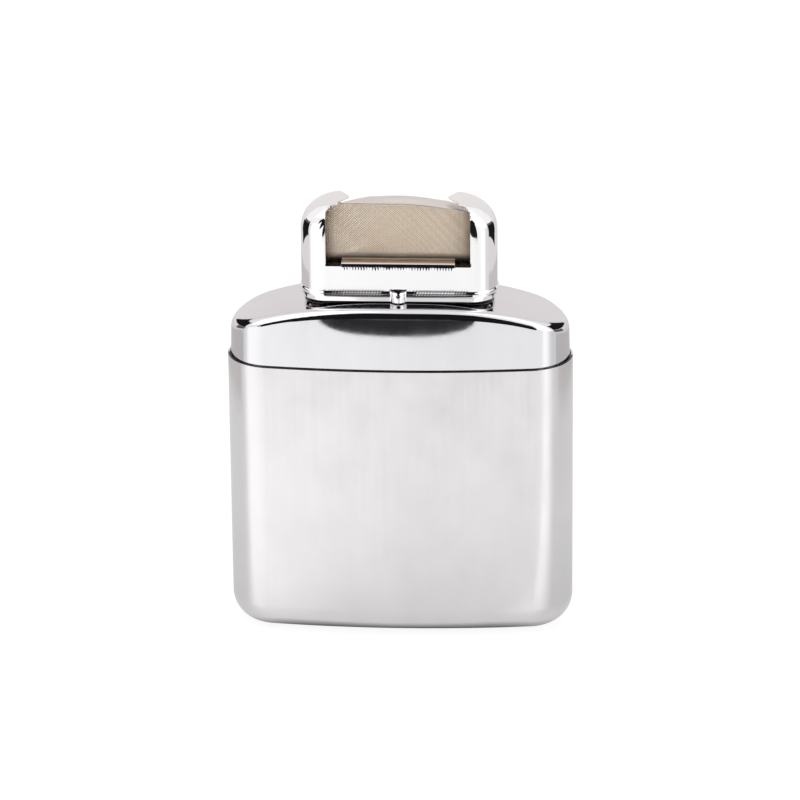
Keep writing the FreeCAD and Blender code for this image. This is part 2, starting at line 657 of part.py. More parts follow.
def burner_socket():
    """The socket welded inside the head, which slips over the neck; holes take the rivets."""
    body = new_body("burner_socket")
    bottom, top = place("socket_bottom"), place("neck_top")
    outline = head_outline(body, "socket_outline", DERIVED["socket_outside"], lift=bottom)
    pad(body, "socket_wall", outline, f"{top} - {bottom}")
    bore = head_outline(body, "socket_bore_outline", DERIVED["socket_inside"], lift=bottom)
    pocket(body, "socket_bore", bore, f"{top} - {bottom}", upwards=True)
    holes = circles(body, "socket_rivet_holes", rivet_centres(), "sizes.rivet_radius",
                    "XZ_Plane")
    pocket(body, "socket_holes", holes, midplane=True)
    return body


def vapour_plate():
    """The perforated floor of the head, which rests on the neck."""
    body = new_body("vapour_plate")
    lift = place("neck_top")
    outline = head_outline(body, "plate_outline", DERIVED["socket_outside"], lift=lift)
    pad(body, "plate", outline, "sizes.plate_thickness")
    perforate(body, "plate", DERIVED["socket_outside"], "sizes.plate_thickness", lift)
    return body


def rivet_centres():
    """Where the rivets are, seen from the front: one in each foot of a spring."""
    x = "(sizes.spring_length / 2 - sizes.spring_foot / 2)"
    z = f"(({place('socket_bottom')} + {place('neck_top')}) / 2)"
    return [(x, z), (f"-{x}", z)]


def grip_spring(label, sign):
    """A leaf spring across the socket: flat feet on its wall and a bow towards the neck."""
    body = new_body(label)
    wall, neck = place("socket_face"), place("neck_face")
    foot = "(sizes.spring_length / 2 - sizes.spring_foot)"
    end = "(sizes.spring_length / 2)"
    rise = f"({wall} - {neck} - sizes.spring_sheet - sizes.spring_clear)"
    flat = "(sizes.spring_bow / 2)"
    outer = [(end, wall), (foot, wall), (flat, f"({wall} - {rise})")]
    inner = [(x, f"({y} - sizes.spring_sheet)") for x, y in outer]
    corners = [(x, f"{sign}{y}") for x, y in outer]
    corners += [(f"-{x}", f"{sign}{y}") for x, y in reversed(outer)]
    corners += [(f"-{x}", f"{sign}{y}") for x, y in inner]
    corners += [(x, f"{sign}{y}") for x, y in reversed(inner)]
    middle = rivet_centres()[0][1]
    outline = polygon(body, f"{label}_outline", corners,
                      lift=f"{middle} - sizes.spring_height / 2")
    pad(body, f"{label}_leaf", outline, "sizes.spring_height")
    holes = circles(body, f"{label}_holes", rivet_centres(), "sizes.rivet_radius", "XZ_Plane")
    pocket(body, f"{label}_rivet_holes", holes, midplane=True)
    return body


def spring_rivets():
    """Four rivets, from the head's inside wall through the socket and the springs' feet."""
    wall = value("sizes.burner_depth / 2 - sizes.head_sheet")
    face = value(f"{place('socket_face')} - sizes.spring_sheet")
    shank, head = value("sizes.rivet_radius"), value("sizes.rivet_head")
    thickness = value("sizes.rivet_head_thickness")
    rivets = []
    for sign in (-1, 1):
        for x, z in rivet_centres():
            towards = Vector(0, -sign, 0)
            outer = Vector(value(x), sign * wall, value(z))
            inner = Vector(value(x), sign * face, value(z))
            pin = Part.makeCylinder(shank, wall - face, outer, towards)
            button = Part.makeCylinder(head, thickness, inner, towards)
            rivets.append(pin.fuse(button).removeSplitter())
    feature = doc.addObject("Part::Feature", "spring_rivets")
    feature.Shape = Part.makeCompound(rivets)
    feature.Label = "spring_rivets"
    feature.Placement = FreeCAD.Placement()
    return feature


def catalyst_form(label, inset):
    """The wrap's solid form: an upright slab with round top corners and rounded edges."""
    body = new_body(label)
    half_x = (f"(sizes.burner_width / 2 - sizes.head_sheet - sizes.gauze_end_gap"
              f" - ({inset}))")
    top, base = f"({place('gauze_top')} - ({inset}))", place("plate_top")
    corners = [(half_x, base), (half_x, top), (f"-{half_x}", top), (f"-{half_x}", base)]
    outline = polygon(body, f"{label}_outline", corners, "XZ_Plane")
    slab = pad(body, f"{label}_slab", outline, f"sizes.gauze_depth - 2 * ({inset})",
               midplane=True)
    x, z = value(half_x), value(top)

    def at_corner(edge):
        centre = edge.CenterOfMass
        return abs(abs(centre.x) - x) < SAME and abs(centre.z - z) < SAME

    rounded = fillet(body, f"{label}_corners", slab,
                     f"sizes.top_corner - sizes.head_sheet - ({inset})", at_corner)
    fillet(body, f"{label}_edges", rounded, f"sizes.gauze_edge - ({inset})", at_height(z))
    return body


def gauze_screen():
    """The gauze wrap: over the pad's front, top, back and ends, open at the bottom."""
    outer = catalyst_form("gauze_form", "0")
    return combine("Cut", "gauze_screen", outer, catalyst_form("gauze_core", "sizes.gauze_sheet"))


def catalyst_pad():
    """The fibre pad that carries the catalyst, inside the gauze."""
    return catalyst_form("catalyst_pad", "sizes.gauze_sheet + sizes.pad_clear")


# ---------------------------------------------------------------- the warmer

shoulder, shoulder_form = shoulder_shell()
cotton = cotton_fill()
pieces = [
    tank_cup(), shoulder, seam_solder(), neck_collar(), neck_solder(shoulder_form),
    neck_grille(), wick_felt(cotton), cotton,
    burner_shell(), burner_socket(), vapour_plate(), gauze_screen(), catalyst_pad(),
    grip_spring("front_grip_spring", "-"), grip_spring("back_grip_spring", ""),
    spring_rivets(),
]
doc.recompute()

for item in doc.Objects:
    if "Invalid" in item.State or "Error" in item.State:
        raise RuntimeError(f"{item.Name} failed: {item.State}")
for piece in pieces:
    if piece.Shape.isNull() or not piece.Shape.isValid():
        raise RuntimeError(f"{piece.Label} has no valid shape")

os.makedirs("parts", exist_ok=True)
for piece in pieces:
    piece.Shape.exportStep(f"parts/{piece.Label}.step")
    box = piece.Shape.optimalBoundingBox()
    print(f"{piece.Label:18s} {len(piece.Shape.Solids)} solid  {piece.Shape.Volume:9.2f} mm3"
          f"  z {box.ZMin:.2f} to {box.ZMax:.2f}")
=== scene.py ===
# %% [markdown]
# # A catalytic hand warmer
# A pocket warmer is a soldered flask of thin plated sheet with a chromed burner head pushed over
# its neck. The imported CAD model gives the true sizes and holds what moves. This script builds the
# surfaces that the eye reads: drawn sheet with rolled edges, woven gauze, fibre and felt. Bright
# metal shows every fault of a mesh, so the drawn shells are built from the same plan curves that
# a die maker would use, and aren't copied from the CAD model's triangles.

# %% Load the frame
import math

import bmesh
import bpy
from mathutils import Matrix, Vector, noise


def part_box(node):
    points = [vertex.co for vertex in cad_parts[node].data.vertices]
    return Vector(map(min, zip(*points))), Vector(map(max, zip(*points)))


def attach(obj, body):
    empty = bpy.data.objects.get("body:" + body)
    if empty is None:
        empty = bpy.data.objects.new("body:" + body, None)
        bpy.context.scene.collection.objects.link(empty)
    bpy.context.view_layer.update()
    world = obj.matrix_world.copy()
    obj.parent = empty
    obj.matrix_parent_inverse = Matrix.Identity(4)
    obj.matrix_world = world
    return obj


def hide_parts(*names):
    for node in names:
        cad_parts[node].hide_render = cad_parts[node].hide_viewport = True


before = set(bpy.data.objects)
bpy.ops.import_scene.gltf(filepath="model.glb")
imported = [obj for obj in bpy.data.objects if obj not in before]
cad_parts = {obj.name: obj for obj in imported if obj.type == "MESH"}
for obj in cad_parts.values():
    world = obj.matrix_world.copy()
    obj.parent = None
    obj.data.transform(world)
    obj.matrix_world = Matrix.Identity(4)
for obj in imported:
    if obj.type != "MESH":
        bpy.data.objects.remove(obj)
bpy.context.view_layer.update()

MM = 0.001

# %% [markdown]
# ## The camera
# A long lens far away keeps the flask's sides nearly parallel, as a product view has them. The
# camera is aimed from given angles: it looks at a point on the flask's axis, then tips up a little
# so that the flask stands just below the middle of the picture.

# %% Camera
PICTURE = 800            # pixels across the square picture
SENSOR = 36.0            # width of the camera's sensor
LOOK_DOWN = 23.25        # degrees below the horizon
LOOK_ROUND = 3.162       # degrees to the right of square on
ROLL = -0.581            # degrees
DISTANCE = 1073.5        # from the camera to the point it looks at
AIM_HEIGHT = 42.0        # height of that point on the flask's axis
PIXEL = 0.198            # millimetres that one pixel covers at that point
AIM_RIGHT, AIM_BELOW = 1.06, 23.69   # pixels from the picture's middle to that point


def make_camera():
    down, round_, roll = (math.radians(a) for a in (LOOK_DOWN, LOOK_ROUND, ROLL))
    aim = Vector((0, 0, AIM_HEIGHT))
    level = Vector((math.sin(round_), -math.cos(round_), 0)) * math.cos(down)
    away = level + Vector((0, 0, math.sin(down)))
    forward = -away
    right = forward.cross(Vector((0, 0, 1))).normalized()
    up = right.cross(forward)
    right, up = (right * math.cos(roll) + up * math.sin(roll),
                 up * math.cos(roll) - right * math.sin(roll))
    focal = DISTANCE / PIXEL
    forward = (forward - right * AIM_RIGHT / focal + up * AIM_BELOW / focal).normalized()
    data = bpy.data.cameras.new("camera")
    data.sensor_width = SENSOR
    data.lens = SENSOR * focal / PICTURE
    data.clip_end = 10.0     # in metres
    camera = bpy.data.objects.new("camera", data)
    bpy.context.scene.collection.objects.link(camera)
    right = forward.cross(up).normalized()
    axes = (right, right.cross(forward), -forward)
    camera.rotation_mode = "QUATERNION"
    camera.rotation_quaternion = Matrix([list(row) for row in zip(*axes)]).to_quaternion()
    camera.location = (aim + away * DISTANCE) * MM
    bpy.context.scene.camera = camera
    return camera


camera = make_camera()
print("camera at", [round(c, 4) for c in camera.location], "lens", round(camera.data.lens, 1))

# %% [markdown]
# ## Meshes from rows of points
# Each drawn shell is a skin laid over rows of points that climb the piece, counted anticlockwise
# seen from above, so that its faces point outwards. Solidify then gives the skin its sheet, and
# Bevel rolls the cut edges. That is how the real sheet is: one thickness all over, with edges
# that catch a thin line of light. Both modifiers are turned into plain mesh at once.

# %% Skin
class Skin:
    """Points in millimetres and the faces between rows of them."""

    def __init__(self):
        self.points, self.faces = [], []

    def row(self, points):
        first = len(self.points)
        self.points += [tuple(point) for point in points]
        return list(range(first, len(self.points)))

    def strip(self, low, high, closed=False, wanted=None):
        count = len(low)
        for i in range(count if closed else count - 1):
            if wanted is None or wanted(i):
                j = (i + 1) % count
                self.faces.append((low[i], low[j], high[j], high[i]))

    def strips(self, rows, closed=False):
        for low, high in zip(rows, rows[1:]):
            self.strip(low, high, closed)

    def cap(self, ring, up):
        """Closes a ring that starts at its +X end, with faces across from front to back."""
        count = len(ring)
        for i in range(count // 2):
            face = (ring[i], ring[i + 1], ring[count - i - 1], ring[-i])
            corners = list(dict.fromkeys(face))
            self.faces.append(corners if up else corners[::-1])

    def make(self, name):
        mesh = bpy.data.meshes.new(name)
        used = sorted({index for face in self.faces for index in face})
        place = {index: i for i, index in enumerate(used)}
        mesh.from_pydata([Vector(self.points[index]) * MM for index in used], [],
                         [[place[index] for index in face] for face in self.faces])
        mesh.validate()
        made = bpy.data.objects.new(name, mesh)
        bpy.context.scene.collection.objects.link(made)
        return made


def box_mm(node):
    """A CAD node's lowest and highest corners, in millimetres."""
    low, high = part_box(node)
    return low / MM, high / MM


print("cup's far corner", [round(c, 1) for c in box_mm("tank_cup")[1]])

# %% Sheet and finish
CUT_ANGLE = math.radians(55)     # only a cut edge turns by more than this


def settled(piece):
    """Turns a piece's modifiers into plain mesh."""
    bpy.context.view_layer.update()
    depsgraph = bpy.context.evaluated_depsgraph_get()
    mesh = bpy.data.meshes.new_from_object(piece.evaluated_get(depsgraph))
    piece.modifiers.clear()
    piece.data = mesh
    mesh.name = piece.name
    return piece


def smooth(piece):
    for polygon in piece.data.polygons:
        polygon.use_smooth = True


def weigh_normals(piece):
    """Large faces set the normals, so that flats stay flat beside small roundings."""
    weighted = piece.modifiers.new("normals", "WEIGHTED_NORMAL")
    weighted.weight = 100
    weighted.thresh = 0.001
    return settled(piece)


def as_sheet(piece, thickness, edge, segments=2):
    """Gives a skin its sheet thickness, inwards, and rolls the cut edges."""
    smooth(piece)
    sheet = piece.modifiers.new("sheet", "SOLIDIFY")
    sheet.thickness, sheet.offset = thickness * MM, -1
    sheet.use_even_offset = sheet.use_quality_normals = True
    rolled = piece.modifiers.new("edges", "BEVEL")
    rolled.width, rolled.segments = edge * MM, segments
    rolled.limit_method, rolled.angle_limit = "ANGLE", CUT_ANGLE
    settled(piece)
    smooth(piece)
    return weigh_normals(piece)


def finish(piece, body, slot, material, *nodes):
    """Gives a piece its material and body, and hides the CAD nodes that it stands for."""
    piece.data.materials.clear()
    piece.data.materials.append(material)
    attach(piece, body)
    if nodes:
        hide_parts(*nodes)
    triangles = sum(len(polygon.vertices) - 2 for polygon in piece.data.polygons)
    print(f"{piece.name}: {triangles} triangles, rides on {body}")
    return piece


print("cut edges turn by more than", round(math.degrees(CUT_ANGLE)), "degrees")

# %% [markdown]
# ## Materials
# Plated metal looks alive because it is never quite even: the polish wanders, the sheet was
# drawn in one direction, and hands leave faint smudges. One function makes every plate. It mixes
# a slow noise for the wander, a noise stretched along the height for the drawing lines, and a
# fine grain for the bump, all read from Object coordinates so that they stay put on the piece.

# %% Node helpers
NOISE_LOW, NOISE_HIGH = 0.3, 0.7     # nearly all of a noise lies between these


def feed(tree, made, inputs):
    """Links sockets to a node's inputs, and sets the inputs that are given plain values."""
    for name, source in inputs.items():
        if isinstance(source, bpy.types.NodeSocket):
            tree.links.new(source, made.inputs[name])
        else:
            made.inputs[name].default_value = source


def node(tree, kind, inputs=None, **settings):
    made = tree.nodes.new(kind)
    for name, setting in settings.items():
        setattr(made, name, setting)
    feed(tree, made, inputs or {})
    return made


def calculate(tree, operation, *values):
    inputs = dict(enumerate(values))
    return node(tree, "ShaderNodeMath", inputs, operation=operation).outputs[0]


def ranged(tree, value, start, end, first, last):
    """Carries a value from one range over to another, and holds it inside that."""
    return node(tree, "ShaderNodeMapRange", {"Value": value, "From Min": start, "From Max": end,
                                             "To Min": first, "To Max": last}).outputs[0]


def axes_of(tree, where):
    """A position's X, Y and Z."""
    return tuple(node(tree, "ShaderNodeSeparateXYZ", {"Vector": where}).outputs)


def blend_colour(tree, factor, first, second):
    mix = node(tree, "ShaderNodeMix", {"Factor": factor}, data_type="RGBA")
    colours = [socket for socket in mix.inputs if socket.type == "RGBA"]
    for socket, source in zip(colours, (first, second)):
        if isinstance(source, bpy.types.NodeSocket):
            tree.links.new(source, socket)
        else:
            socket.default_value = (*source, 1)
    return next(socket for socket in mix.outputs if socket.type == "RGBA")


print("noise is taken from", NOISE_LOW, "to", NOISE_HIGH)

# %% Material helpers
def new_material(name):
    material = bpy.data.materials.new(name)
    material.use_nodes = True
    tree = material.node_tree
    where = node(tree, "ShaderNodeTexCoord").outputs["Object"]
    return material, tree, tree.nodes["Principled BSDF"], where


def noise_map(tree, where, size, low, high, stretch=(1, 1, 1), detail=3.0, roughness=0.5):
    """Noise whose features are size millimetres across, mapped from low to high."""
    mapping = node(tree, "ShaderNodeMapping", {"Vector": where, "Scale": stretch})
    made = node(tree, "ShaderNodeTexNoise", {"Vector": mapping.outputs[0],
                                             "Scale": 1 / (size * MM), "Detail": detail,
                                             "Roughness": roughness})
    return ranged(tree, made.outputs["Fac"], NOISE_LOW, NOISE_HIGH, low, high)


def bump(tree, heights):
    """A chain of bumps; each is a height field with its depth in millimetres."""
    normal = None
    for field, depth in heights:
        made = node(tree, "ShaderNodeBump", {"Height": field, "Distance": depth * MM,
                                             "Strength": 1.0})
        if normal:
            tree.links.new(normal, made.inputs["Normal"])
        normal = made.outputs[0]
    return normal


print("materials read Object coordinates")

# %% Plated metal
SMUDGE, PATCH, LINE = 14.0, 9.0, 1.0     # sizes of smudges, polished patches and drawing lines


def plated(name, bright, dull, polish, wander, grain_depth, wave_depth, grain=0.7, wave=18.0):
    """Plate between two tints; polish and wander are the roughness and how far it strays."""
    material, tree, shader, where = new_material(name)
    smudges = noise_map(tree, where, SMUDGE, 0.0, 1.0, (1, 1, 0.7), 5.0, 0.6)
    patches = noise_map(tree, where, PATCH, polish - wander, polish + wander, detail=5.0)
    drawn = noise_map(tree, where, LINE, -0.5, 0.5, (1, 1, 0.04), 2.0)
    fine = noise_map(tree, where, grain, 0.0, 1.0, detail=2.0)
    slow = noise_map(tree, where, wave, 0.0, 1.0, detail=1.0)
    feed(tree, shader, {
        "Base Color": blend_colour(tree, smudges, bright, dull),
        "Metallic": 1.0,
        "Roughness": calculate(tree, "ADD", patches, calculate(tree, "MULTIPLY", drawn, wander)),
        "Normal": bump(tree, ((slow, wave_depth), (drawn, grain_depth), (fine, grain_depth)))})
    return material


satin_plate = plated("satin_plate", (0.82, 0.80, 0.80), (0.76, 0.745, 0.75), 0.20, 0.05,
                     0.0015, 0.03)
polished_plate = plated("polished_plate", (0.80, 0.79, 0.815), (0.74, 0.73, 0.75), 0.07, 0.02,
                        0.0006, 0.012)
burner_chrome = plated("burner_chrome", (0.93, 0.92, 0.925), (0.89, 0.88, 0.89), 0.045, 0.015,
                       0.0003, 0.008)
neck_plate = plated("neck_plate", (0.78, 0.77, 0.75), (0.70, 0.67, 0.62), 0.16, 0.05, 0.0008,
                    0.01)
inner_steel = plated("inner_steel", (0.64, 0.63, 0.61), (0.52, 0.49, 0.45), 0.30, 0.08, 0.002,
                     0.01)
# nearly black: painted shade for the dark notches beside the tabs, where the vapour plate shows
shade_dark_steel = plated("shade_dark_steel", (0.16, 0.14, 0.12), (0.08, 0.07, 0.06), 0.45, 0.08, 0.002,
                      0.01)
spring_steel = plated("spring_steel", (0.42, 0.43, 0.46), (0.34, 0.34, 0.38), 0.25, 0.06, 0.001,
                      0.005)
print("plates made")

# %% [markdown]
# ## Solder, gauze, fibre and felt
# Solder is soft and lumpy, so it takes a deeper bump and no polish. The gauze is fine wire that
# heat has turned straw-coloured. Fibre, felt and cotton aren't metal: they get a fibrous noise
# for both colour and bump, and a little sheen.

# %% Solder and gauze
END_SHADE_FROM, END_SHADE_TO = 12.4, 14.6  # out from the middle, between which painted shade browns the wrap's ends
FOOT_SHADE_FROM, FOOT_SHADE_TO = 79.3, 77.9     # heights between which a painted shadow darkens its foot


def shade_dark_solder():
    material, tree, shader, where = new_material("solder")
    patches = noise_map(tree, where, 1.6, 0.0, 1.0, detail=4.0)
    lumps = noise_map(tree, where, 0.8, 0.0, 1.0)
    feed(tree, shader, {
        # nearly black: painted shade for the gaps where it shows, under the head and along the
        # cup's seam
        "Base Color": blend_colour(tree, patches, (0.16, 0.15, 0.15), (0.05, 0.045, 0.045)),
        "Metallic": 1.0,
        "Roughness": noise_map(tree, where, 0.9, 0.28, 0.48),
        "Normal": bump(tree, ((lumps, 0.06),))})
    return material


def fade(tree, value, start, end):
    """From 0 at start to 1 at end, both in millimetres; end may lie below start."""
    low, high = sorted((start, end))
    first, last = (0.0, 1.0) if start < end else (1.0, 0.0)
    return ranged(tree, value, low * MM, high * MM, first, last)


def gauze_wire():
    """Straw-coloured wire, with painted shade browning the wrap's ends and a painted shadow
    darkening its foot.
    """
    material, tree, shader, where = new_material("gauze")
    heat = noise_map(tree, where, 4.0, 0.0, 1.0, detail=4.0)
    single = noise_map(tree, where, 0.5, 0.0, 1.0, detail=1.0)
    x, _, z = axes_of(tree, where)
    end_shade = fade(tree, calculate(tree, "ABSOLUTE", x), END_SHADE_FROM, END_SHADE_TO)
    tone = blend_colour(tree, heat, (1.0, 0.88, 0.73), (0.97, 0.79, 0.61))
    tone = blend_colour(tree, single, tone, (1.0, 0.90, 0.77))
    tone = blend_colour(tree, end_shade, tone, (0.40, 0.29, 0.19))
    tone = blend_colour(tree, fade(tree, z, FOOT_SHADE_FROM, FOOT_SHADE_TO), tone, (0.07, 0.05, 0.035))
    feed(tree, shader, {"Base Color": tone, "Metallic": 0.05,
                        "Roughness": noise_map(tree, where, 0.8, 0.40, 0.56)})
    return material


solder = shade_dark_solder()
gauze = gauze_wire()
print("the gauze darkens from", FOOT_SHADE_FROM, "to", FOOT_SHADE_TO)

# %% Fibre, felt and cotton
def fibre(name, light, dark, clump, strand, depth):
    """Matted fibre: clumps of two tints, and strands as bump, sizes in millimetres."""
    material, tree, shader, where = new_material(name)
    clumps = noise_map(tree, where, clump, 0.0, 1.0, detail=5.0)
    strands = noise_map(tree, where, strand, 0.0, 1.0, (1, 1, 0.25), 4.0, 0.7)
    tone = blend_colour(tree, clumps, light, dark)
    feed(tree, shader, {
        "Base Color": blend_colour(tree, strands, tone, dark),
        "Roughness": noise_map(tree, where, strand, 0.85, 1.0),
        "Sheen Weight": 0.3,
        "Specular IOR Level": 0.2,
        "Normal": bump(tree, ((strands, depth), (clumps, depth)))})
    return material


catalyst_fibre = fibre("catalyst_fibre", (0.72, 0.60, 0.47), (0.50, 0.40, 0.30), 2.5, 0.3, 0.1)
felt = fibre("felt", (0.82, 0.80, 0.74), (0.66, 0.63, 0.56), 2.0, 0.25, 0.08)
cotton = fibre("cotton", (0.92, 0.91, 0.88), (0.78, 0.76, 0.72), 4.0, 0.4, 0.3)
print("soft finishes made")

# %% [markdown]
# ## The flask's plan
# Seen from above the flask is an oval of four arcs that run into each other without a corner: two
# tight ends and two nearly flat faces. A shell's outline at any height is that oval brought in by
# an inset, so one function serves the cup, the shoulder and the cotton. Points are spread by the
# direction that the wall faces, and so the tight ends get the most of them.

# %% Flask plan
END_RADIUS = 8.9         # plan radius of the narrow ends
END_STEPS, FACE_STEPS = 40, 14

cup_high = box_mm("tank_cup")[1]
half_width, half_depth, cup_top = cup_high.x, cup_high.y, cup_high.z
end_centre = half_width - END_RADIUS
face_centre = ((end_centre ** 2 + half_depth ** 2 - END_RADIUS ** 2)
               / (2 * (half_depth - END_RADIUS)) - half_depth)
face_radius = face_centre + half_depth
end_turn = math.atan2(face_centre, end_centre)


def oval_directions():
    """The directions that the wall faces, anticlockwise from +X, the same in each quarter."""
    face_turn = math.pi / 2 - end_turn
    quarter = [end_turn * i / END_STEPS for i in range(END_STEPS)]
    quarter += [end_turn + face_turn * i / FACE_STEPS for i in range(FACE_STEPS)]
    half = quarter + [math.pi / 2] + [math.pi - angle for angle in quarter[:0:-1]]
    return half + [math.pi + angle for angle in half]


def oval_point(direction, inset):
    across, along = abs(math.cos(direction)), abs(math.sin(direction))
    if math.atan2(along, across) < end_turn:
        radius = END_RADIUS - inset
        x, y = end_centre + radius * across, radius * along
    else:
        radius = face_radius - inset
        x, y = radius * across, radius * along - face_centre
    return math.copysign(x, math.cos(direction)), math.copysign(y, math.sin(direction))


DIRECTIONS = oval_directions()


def oval(inset, z):
    return [(*oval_point(direction, inset), z) for direction in DIRECTIONS]


print("oval", len(DIRECTIONS), "points; face radius", round(face_radius, 1))

# %% [markdown]
# ## The cup
# The cup is drawn from one disc of brass and plated satin. Its floor turns up into the walls
# through one large radius. The skin starts at the floor and climbs to the rim, whose cut edge is
# painted dark along the front and the back: painted shade for the seam's gap.

# %% Cup
SHEET = 0.4              # the flask's sheet
BOTTOM_RADIUS = 6.0      # between floor and walls
BOTTOM_STEPS, WALL_STEPS = 20, 8
ROLLED_EDGE = 0.12       # how far a cut edge is rolled over
SEAM_SHADE_DROP = 0.07          # how far down the rim the painted seam shade reaches


def cup_skin():
    skin = Skin()
    rows = []
    for step in range(BOTTOM_STEPS + 1):
        turned = math.pi / 2 * step / BOTTOM_STEPS
        inset = BOTTOM_RADIUS * (1 - math.sin(turned))
        rows.append(skin.row(oval(inset, BOTTOM_RADIUS * (1 - math.cos(turned)))))
    for step in range(1, WALL_STEPS + 1):
        height = BOTTOM_RADIUS + (cup_top - BOTTOM_RADIUS) * step / WALL_STEPS
        rows.append(skin.row(oval(0, height)))
    skin.cap(rows[0], up=False)
    skin.strips(rows, closed=True)
    return skin


def recolour(material, share_at, tint):
    """Lays a tint over a plate; share_at gives its share from the piece's X, Y and Z."""
    tree = material.node_tree
    colour = tree.nodes["Principled BSDF"].inputs["Base Color"]
    where = node(tree, "ShaderNodeTexCoord").outputs["Object"]
    share = share_at(tree, *axes_of(tree, where))
    tree.links.new(blend_colour(tree, share, colour.links[0].from_socket, tint), colour)


def painted_seam_shade(tree, x, y, z):
    """The rim's cut edge, painted dark along the front and along the back as shade of the seam's
    gap.
    """
    sides = calculate(tree, "ADD", fade(tree, y, 0.0, -1.0), fade(tree, y, 4.5, 6.0))
    shade_band = fade(tree, z, cup_top - SEAM_SHADE_DROP - 0.02, cup_top - SEAM_SHADE_DROP)
    return calculate(tree, "MULTIPLY", shade_band, sides)


# the rim's top edge is painted nearly black: painted shade of the seam between cup and shoulder
recolour(satin_plate, painted_seam_shade, (0.05, 0.047, 0.045))
cup = as_sheet(cup_skin().make("flask_cup"), SHEET, ROLLED_EDGE)
finish(cup, "tank", "satin_plate", satin_plate, "tank_cup")

# %% [markdown]
# ## The shoulder
# The shoulder laps inside the cup, leans in a little as it climbs and turns over a tight rounding
# into a deck that is crowned from side to side. A plain Bevel can't follow a crowned edge
# closely enough for a polished surface. So the rounding's centre is found at each point of the
# plan: it is the place that lies one radius from the wall and one radius below the deck.

# %% Shoulder sizes
SEAM_STEP = 0.6          # the shoulder stands in from the cup by this much
LAP = 4.0                # skirt inside the cup
CROWN_LIFT = 0.3         # how far the deck swells up in the middle
CROWN_DROP, CROWN_REACH, CROWN_POWER = 4.7, 32.0, 3.1   # the deck falls by this, this far out
LEAN = math.radians(1.6)
ROUNDING, END_ROUNDING = 1.8, 2.8    # between wall and deck, on the faces and at the ends
ROUNDING_STEPS, DECK_STEPS = 14, 10
SETTLING = 20            # rounds in which a rounding's centre settles
NECK_HOLE = (17.85, 4.0, 3.7)   # half sizes and corner radius of the hole in the deck

deck_top = box_mm("shoulder_shell")[1].z


def crown(x):
    return deck_top + CROWN_LIFT - CROWN_DROP * (abs(x) / CROWN_REACH) ** CROWN_POWER


def crown_slope(x):
    steepness = CROWN_DROP * CROWN_POWER / CROWN_REACH
    return -math.copysign(steepness * (abs(x) / CROWN_REACH) ** (CROWN_POWER - 1), x)


def rounding_at(direction):
    return ROUNDING + (END_ROUNDING - ROUNDING) * math.cos(direction) ** 2


def rounding_centre(direction):
    """The rounding's centre, as an inset and a height, and the deck's slope above it."""
    facing, radius = math.cos(direction), rounding_at(direction)
    inset = SEAM_STEP + radius
    for _ in range(SETTLING):
        x = oval_point(direction, inset)[0]
        slope = crown_slope(x) * facing
        height = crown(x) - radius * math.sqrt(1 + slope ** 2)
        inset = (SEAM_STEP + (height - cup_top) * math.tan(LEAN)
                 + radius / math.cos(LEAN))
    return inset, height, slope


print("deck's top at", round(crown(0), 2))

# %% Neck hole
HALVINGS = 40            # of a range, in a search for the place of an edge


def rounded_distance(x, y, half_x, half_y, radius):
    """How far a point is outside a rectangle with round corners; inside it is negative."""
    over_x, over_y = abs(x) - half_x + radius, abs(y) - half_y + radius
    outside = math.hypot(max(over_x, 0), max(over_y, 0))
    return outside + min(max(over_x, over_y), 0) - radius


def last_inside(is_inside, low, high):
    """The largest value of a range for which is_inside still holds, found by halving."""
    for _ in range(HALVINGS):
        middle = (low + high) / 2
        low, high = (middle, high) if is_inside(middle) else (low, middle)
    return low


def hole_point(direction):
    """The neck hole's edge in the direction of a point of the oval."""
    x, y = oval_point(direction, 0)
    x, y = x * NECK_HOLE[0] / half_width, y * NECK_HOLE[1] / half_depth
    reach = last_inside(lambda share: rounded_distance(x * share, y * share, *NECK_HOLE) < 0,
                        0.5, 2.0)
    return x * reach, y * reach


print("neck hole", 2 * NECK_HOLE[0], "by", 2 * NECK_HOLE[1])

# %% Shoulder
def between(first, second, share):
    """Plan points part of the way from one row to another."""
    return [(a + (c - a) * share, b + (d - b) * share)
            for (a, b), (c, d) in zip(first, second)]


def shoulder_skin():
    skin = Skin()
    centres = [rounding_centre(direction) for direction in DIRECTIONS]
    rows = [skin.row(oval(SEAM_STEP, cup_top - LAP)), skin.row(oval(SEAM_STEP, cup_top))]
    for step in range(ROUNDING_STEPS + 1):
        points = []
        for direction, (inset, height, slope) in zip(DIRECTIONS, centres):
            last = math.pi / 2 + math.atan(slope)
            angle = LEAN + (last - LEAN) * step / ROUNDING_STEPS
            radius = rounding_at(direction)
            x, y = oval_point(direction, inset - radius * math.cos(angle))
            points.append((x, y, height + radius * math.sin(angle)))
        rows.append(skin.row(points))
    edge = [skin.points[index][:2] for index in rows[-1]]
    hole = [hole_point(direction) for direction in DIRECTIONS]
    for step in range(1, DECK_STEPS + 1):
        plan = between(edge, hole, step / DECK_STEPS)
        rows.append(skin.row([(x, y, crown(x)) for x, y in plan]))
    skin.strips(rows, closed=True)
    return skin


shoulder = as_sheet(shoulder_skin().make("flask_shoulder"), SHEET, ROLLED_EDGE)
finish(shoulder, "tank", "polished_plate", polished_plate, "shoulder_shell")

# %% [markdown]
# ## The burner head
# The head is pressed from one sheet: a skirt that stands out round the rim and leans in below,
# straight sides, a domed top, and a window cut through front and back whose sill is folded in as
# a tab. The skin is laid in three zones that share their edge points. Full rings make the band
# below the sill. Above it two arms climb in C-shaped rows from one window edge round the end to
# the other. The tips on top are a fan between the last C and the edge of the top opening. Over
# the tabs' bend the plate takes a brown tint: a painted reflection of the gauze, and painted shade
# on the bend's highlight.

